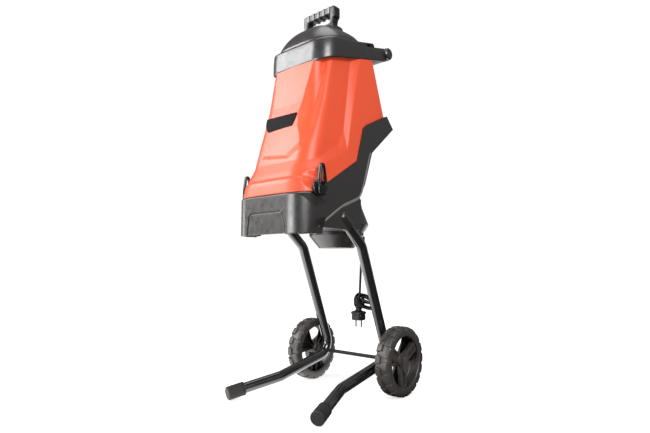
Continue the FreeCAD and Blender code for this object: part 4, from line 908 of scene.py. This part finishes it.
def wheels():
    """Both wheels: tread ring, spokes, hub and the cover over it."""
    x, y, z = WHEEL_CENTRE
    for word, side in SIDES:
        body = "wheel_" + word
        matrix = frame_matrix((x * side, y, z), (0, side, 0), UP)
        ring = wheel_ring(f"tyre_{word}", matrix)
        finish_piece(ring, body, "wheel_plastic", ["wheel_" + word], 40.0)
        arms, webs = wheel_spokes(f"spoke_{word}", matrix)
        # The webs behind the spokes take a near-black finish that paints the shade inside the wheel.
        for parts, material in ((arms, SPOKE_FINISH), (webs, WEB_SHADE_FINISH)):
            for part in parts:
                finish_piece(part, body, "wheel_plastic", (), 40.0, material)
        hub = turned_piece(
            f"hub_{word}", [(5.1, -2), (15, -2), (17, 0), (17, 32), (19, 34), (19, 36), (17, 37), (9.4, 37),
                            (9.4, 22), (5.1, 22), (5.1, -2)], matrix, 64)
        finish_piece(hub, body, "wheel_plastic", (), 35.0)
        loop = rounded_loop(
            [(-13, 4), (-12, -18), (-8, -30), (8, -30), (12, -18), (13, 4), (8, 16), (-8, 16)], 7, 6)
        cap = outline_piece(f"hub_cover_{word}", [loop], 7, 1.8, matrix @ lifted(39.5))
        finish_piece(cap, body, "wheel_plastic", ["hub_cap_" + word], 40.0, SPOKE_FINISH)


# ---------------------------------------------------------------- knobs

KNOB_PLACE = (119.0, -161.0, 520.0)  # foot of the left knob, on the base's side


def knobs():
    """Locking knobs with upright loop levers."""
    x, y, z = KNOB_PLACE
    for word, side in SIDES:
        body = "knob_" + word
        matrix = frame_matrix((x * side, y, z), (0, side, 0), UP)
        profile = [
            (4.1, 0), (15, 0), (18.5, 0.6), (19.5, 2.5), (19.5, 7), (18, 9.2), (12, 10.2), (11, 12),
            (9, 13.4), (4.1, 13.4), (4.1, 0)]
        round_part = turned_piece(f"knob_round_{word}", profile, matrix, 72)
        finish_piece(round_part, body, "knob_plastic", ["locking_knob_" + word], 35.0)
        outer = rounded_loop([(-13, -4), (-12, 26), (-8, 50), (-5, 58), (5, 58), (8, 50), (14, 26), (16, -4),
                              (9, -19), (-8, -19)], 9, 8)
        hole = rounded_loop([(-5.5, 6), (-5, 28), (-2.5, 49), (2.5, 49), (7, 28), (8.5, 6)], 4, 6)
        lever = outline_piece(
            f"knob_lever_{word}", [outer, hole], 10, 3.6, matrix @ Matrix.Scale(side, 4, LEFT) @ lifted(14.2))
        finish_piece(lever, body, "knob_plastic", (), 45.0)


# ---------------------------------------------------------------- badge

BADGE_LOW, BADGE_HIGH = 672, 750
BADGE_OUT = 6.0  # clears the hopper's raised panel


def badge():
    """A blank badge that leans with the hopper's front."""
    low_y, high_y = along(FRONT_FACE, BADGE_LOW), along(FRONT_FACE, BADGE_HIGH)
    lean = (0, high_y - low_y, BADGE_HIGH - BADGE_LOW)
    matrix = frame_matrix((0, low_y - BADGE_OUT, BADGE_LOW), LEFT, lean)
    outline = rounded_loop([(-72, 55), (-69, 32), (-56, 12), (33, 15), (38, 33), (41, 52)], 5, 5)
    piece = outline_piece("badge_blank", [outline], 2.4, 0.7, matrix)
    finish_piece(piece, "hopper", "badge", ["badge_plate"], 40.0)


# ---------------------------------------------------------------- cord and plug

PLUG = (35.0, 106.0)  # x and y of the plug's middle
BUNDLE_HEADING = 0.55
PLUG_SQUARE = 3.2
PLUG_FLAT = 0.84
PLUG_RIB = 0.9


def cord():
    """The mains cord, its looped bundle and tie."""
    x, y = PLUG
    run = [(40, 118, 420), (40, 117.6, 400), (40, 114, 350), (39.5, 109, 300), (39, 107, 262), (38, 106, 244),
           (x + 1, y, 228), (x, y, 211)]
    main = tube_piece("cord_run", run, 3.3)
    finish_piece(main, "stand", "cord_rubber", ["power_cord"], 60.0)
    loops = [  # centre, half width, half height, lean and heading of each loop of the bundle
        (36, 108, 242, 13, 20, 0.10, 0.2), (40, 103, 240, 11, 18, -0.25, -0.5),
        (33, 111, 234, 12, 16, 0.35, 0.6), (58, 110, 238, 30, 12, -0.45, 0.15),
        (60, 104, 233, 31, 9, -0.30, -0.25), (56, 114, 242, 27, 13, -0.62, 0.5),
        (53, 108, 231, 26, 7, -0.12, 0.0),
    ]
    for index, (cx, cy, cz, wide, tall, lean, turn) in enumerate(loops):
        loop = []
        heading = turn + BUNDLE_HEADING
        for angle in angles(14):
            u = wide * math.cos(angle)
            v = tall * math.sin(angle) * (1 + 0.12 * math.sin(2 * angle + index))
            along_x = u * math.cos(lean) - v * math.sin(lean)
            up = u * math.sin(lean) + v * math.cos(lean)
            side = 2.5 * math.sin(2 * angle + index)
            loop.append((
                cx + along_x * math.cos(heading) - side * math.sin(heading),
                cy + along_x * math.sin(heading) + side * math.cos(heading), cz + up))
        ring = tube_piece(f"cord_loop_{index}", loop, 3.2, cyclic=True)
        finish_piece(ring, "stand", "cord_rubber", (), 60.0)
    for index, height in enumerate((228, 233, 238)):
        tie = [
            (37.5 + 9 * math.cos(angle), 107 + 9 * math.sin(angle), height + 2 * math.sin(angle + index))
            for angle in angles(16)]
        wrap = tube_piece(f"cord_wrap_{index}", tie, 2.9, cyclic=True)
        finish_piece(wrap, "stand", "cord_rubber", (), 60.0)


def plug():
    """The moulded two-pin plug."""
    steps = 64
    rows = [
        (0, 189), (16.2, 189), (17.6, 190.2), (18.2, 193), (18.2, 203), (17.4, 204), (17.4, 205.2),
        (20, 206.5), (20.6, 208.5), (20, 211), (17, 213), (11, 214.6), (8.4, 216), (7.4, 220),
        (6.6, 224), (5.6, 228), (3.4, 230)]
    corners = []
    for radius, z in rows:
        ribbed = 17.5 < radius < 19 and z < 204
        for angle in angles(steps):
            rib = PLUG_RIB * (0.5 + 0.5 * math.cos(14 * angle)) ** 2 if ribbed else 0.0
            reach = (radius - rib) * squared(angle, PLUG_SQUARE)
            corners.append((
                PLUG[0] + reach * math.cos(angle), PLUG[1] + PLUG_FLAT * reach * math.sin(angle), z))
    piece = mesh_piece("plug_moulding", corners, grid_faces(len(rows), steps, wrap_columns=True))
    finish_piece(piece, "stand", "cord_rubber", ["plug_body"], 40.0)


# ---------------------------------------------------------------- CAD nodes that stay

def dress_nodes():
    """Give every CAD node its slot's finish and smooth shading."""
    slots = {row["node"]: row["material_slot"] for row in frame["record"]["subparts"]}
    for name, node in frame["nodes"].items():
        node.data.materials.clear()
        node.data.materials.append(AXLE_FINISH if name == "axle" else FINISH[slots[name]])
        for face in node.data.polygons:
            face.material_index = 0
        smooth_by_angle(node.data, 30.0)


# ---------------------------------------------------------------- stage

CAMERA_PLACE = (856.5, -984.5, 343.0)
CAMERA_AZIMUTH = 40.93
CAMERA_ELEVATION = -5.71
CAMERA_LENS = 26.58


def camera():
    """The camera, and plain display of its colours."""
    azimuth = math.radians(CAMERA_AZIMUTH)
    elevation = math.radians(CAMERA_ELEVATION)
    level = math.cos(elevation)
    forward = Vector((-math.sin(azimuth) * level, math.cos(azimuth) * level, -math.sin(elevation)))
    lens = bpy.data.cameras.new("camera")
    lens.lens = CAMERA_LENS
    lens.sensor_width = 36.0
    lens.clip_start = 0.01
    holder = place_object("camera", lens)
    holder.location = Vector(CAMERA_PLACE) * MM
    holder.rotation_euler = forward.to_track_quat("-Z", "Y").to_euler()
    bpy.context.scene.camera = holder
    bpy.context.scene.view_settings.view_transform = "Standard"


FLOOR_HALF = 14.0
FLOOR_REACH = (0.55, 2.2)  # distances from the machine between which the glow grows
FLOOR_GLOW = (0.66, 1.1)
FLOOR_FELT = 0.25  # share of the glow that lights other things
FLOOR_MIRRORED = 1.1
FLOOR_SHADE = (-0.1, 0.12)  # x between which reflections go from the bright floor to the dark one
FLOOR_DARK = (0.06, 0.06, 0.06)


def floor():
    """A pale studio floor that melts into the white room with distance.

    To reflections it is bright on the machine's right and dark on its left, whatever the camera sees there.
    """
    mesh = bpy.data.meshes.new("floor")
    size = FLOOR_HALF
    mesh.from_pydata(
        [(-size, -size, 0), (size, -size, 0), (size, size, 0), (-size, size, 0)], [], [(0, 1, 2, 3)])
    piece = place_object("floor", mesh)
    n = Nodes("floor_paint")
    path = n.add("ShaderNodeLightPath")
    split = n.add("ShaderNodeSeparateXYZ")
    n.link(n.place, split.inputs[0])
    glossy = path.outputs["Is Glossy Ray"]
    dark_side = n.ramp(split.outputs["X"], 0.0, 1.0, *FLOOR_SHADE)
    pale = n.mix(n.noise(2.0), (0.80, 0.79, 0.78), (0.84, 0.83, 0.82))
    n.link(n.cover(n.times(dark_side, glossy), pale, FLOOR_DARK), n.shader.inputs["Base Color"])
    n.shader.inputs["Roughness"].default_value = 0.7
    n.shader.inputs["Specular IOR Level"].default_value = 0.1
    n.shader.inputs["Emission Color"].default_value = (1, 1, 1, 1)
    away = n.add("ShaderNodeVectorMath", operation="LENGTH")
    n.link(n.place, away.inputs[0])
    glow = n.ramp(away.outputs["Value"], *FLOOR_GLOW, *FLOOR_REACH)
    felt = n.ramp(path.outputs["Is Camera Ray"], FLOOR_FELT, 1.0, 0.0, 1.0)
    strength = n.add("ShaderNodeMix")
    n.link(glossy, strength.inputs["Factor"])
    n.link(n.times(glow, felt), strength.inputs["A"])
    n.link(n.ramp(dark_side, FLOOR_MIRRORED, 0.0, 0.0, 1.0), strength.inputs["B"])
    n.link(strength.outputs["Result"], n.shader.inputs["Emission Strength"])
    n.material.cycles.emission_sampling = "NONE"
    mesh.materials.append(n.material)


ROOM_SEEN = 1.05
ROOM_LIGHT = 0.22
LAMPS = [  # name, place, target, width, power in watts and, unless it is square, height
    ("key", (-1.5, -1.5, 1.75), (0, -0.1, 0.75), 1.4, 41, 1.4),
    ("left_strip", (-2.2, -0.9, 0.5), (0, 0, 0.3), 0.5, 8, 1.0),
    ("front_low", (-0.25, -2.6, 0.45), (0, 0, 0.35), 1.3, 30, 1.0),
    ("side", (2.1, -1.05, 1.55), (0, 0, 0.7), 1.1, 33, 1.1),
    ("top", (0.1, 0.0, 2.6), (0, 0, 0.8), 1.4, 14),
]


def area_light(name, place, target, size, power, size_y=None):
    """A soft box that faces a target."""
    lamp = bpy.data.lights.new(name, "AREA")
    lamp.energy = power
    lamp.size = size
    if size_y:
        lamp.shape = "RECTANGLE"
        lamp.size_y = size_y
    holder = place_object(name, lamp)
    holder.location = place
    holder.rotation_euler = (Vector(target) - Vector(place)).to_track_quat("-Z", "Y").to_euler()


def room():
    """A white room to the camera, a dimmer one to the surfaces it lights."""
    world = bpy.data.worlds.new("room")
    world.use_nodes = True
    tree = world.node_tree
    seen = tree.nodes["Background"]
    seen.inputs["Color"].default_value = (1, 1, 1, 1)
    seen.inputs["Strength"].default_value = ROOM_SEEN
    felt = tree.nodes.new("ShaderNodeBackground")
    felt.inputs["Color"].default_value = (0.96, 0.98, 1.0, 1)
    felt.inputs["Strength"].default_value = ROOM_LIGHT
    path = tree.nodes.new("ShaderNodeLightPath")
    mix = tree.nodes.new("ShaderNodeMixShader")
    tree.links.new(path.outputs["Is Camera Ray"], mix.inputs["Fac"])
    tree.links.new(felt.outputs[0], mix.inputs[1])
    tree.links.new(seen.outputs[0], mix.inputs[2])
    tree.links.new(mix.outputs[0], tree.nodes["World Output"].inputs["Surface"])
    bpy.context.scene.world = world


dress_nodes()
hopper()
hopper_knuckles()
hood_band()
hood_dome()
hood_deck()
slot_collar()
arm_ends()
pusher_handle()
base()
skirt_skin()
ledge_ribs()
tube_bosses()
wheels()
knobs()
badge()
cord()
plug()
camera()
floor()
room()
for settings in LAMPS:
    area_light(*settings)
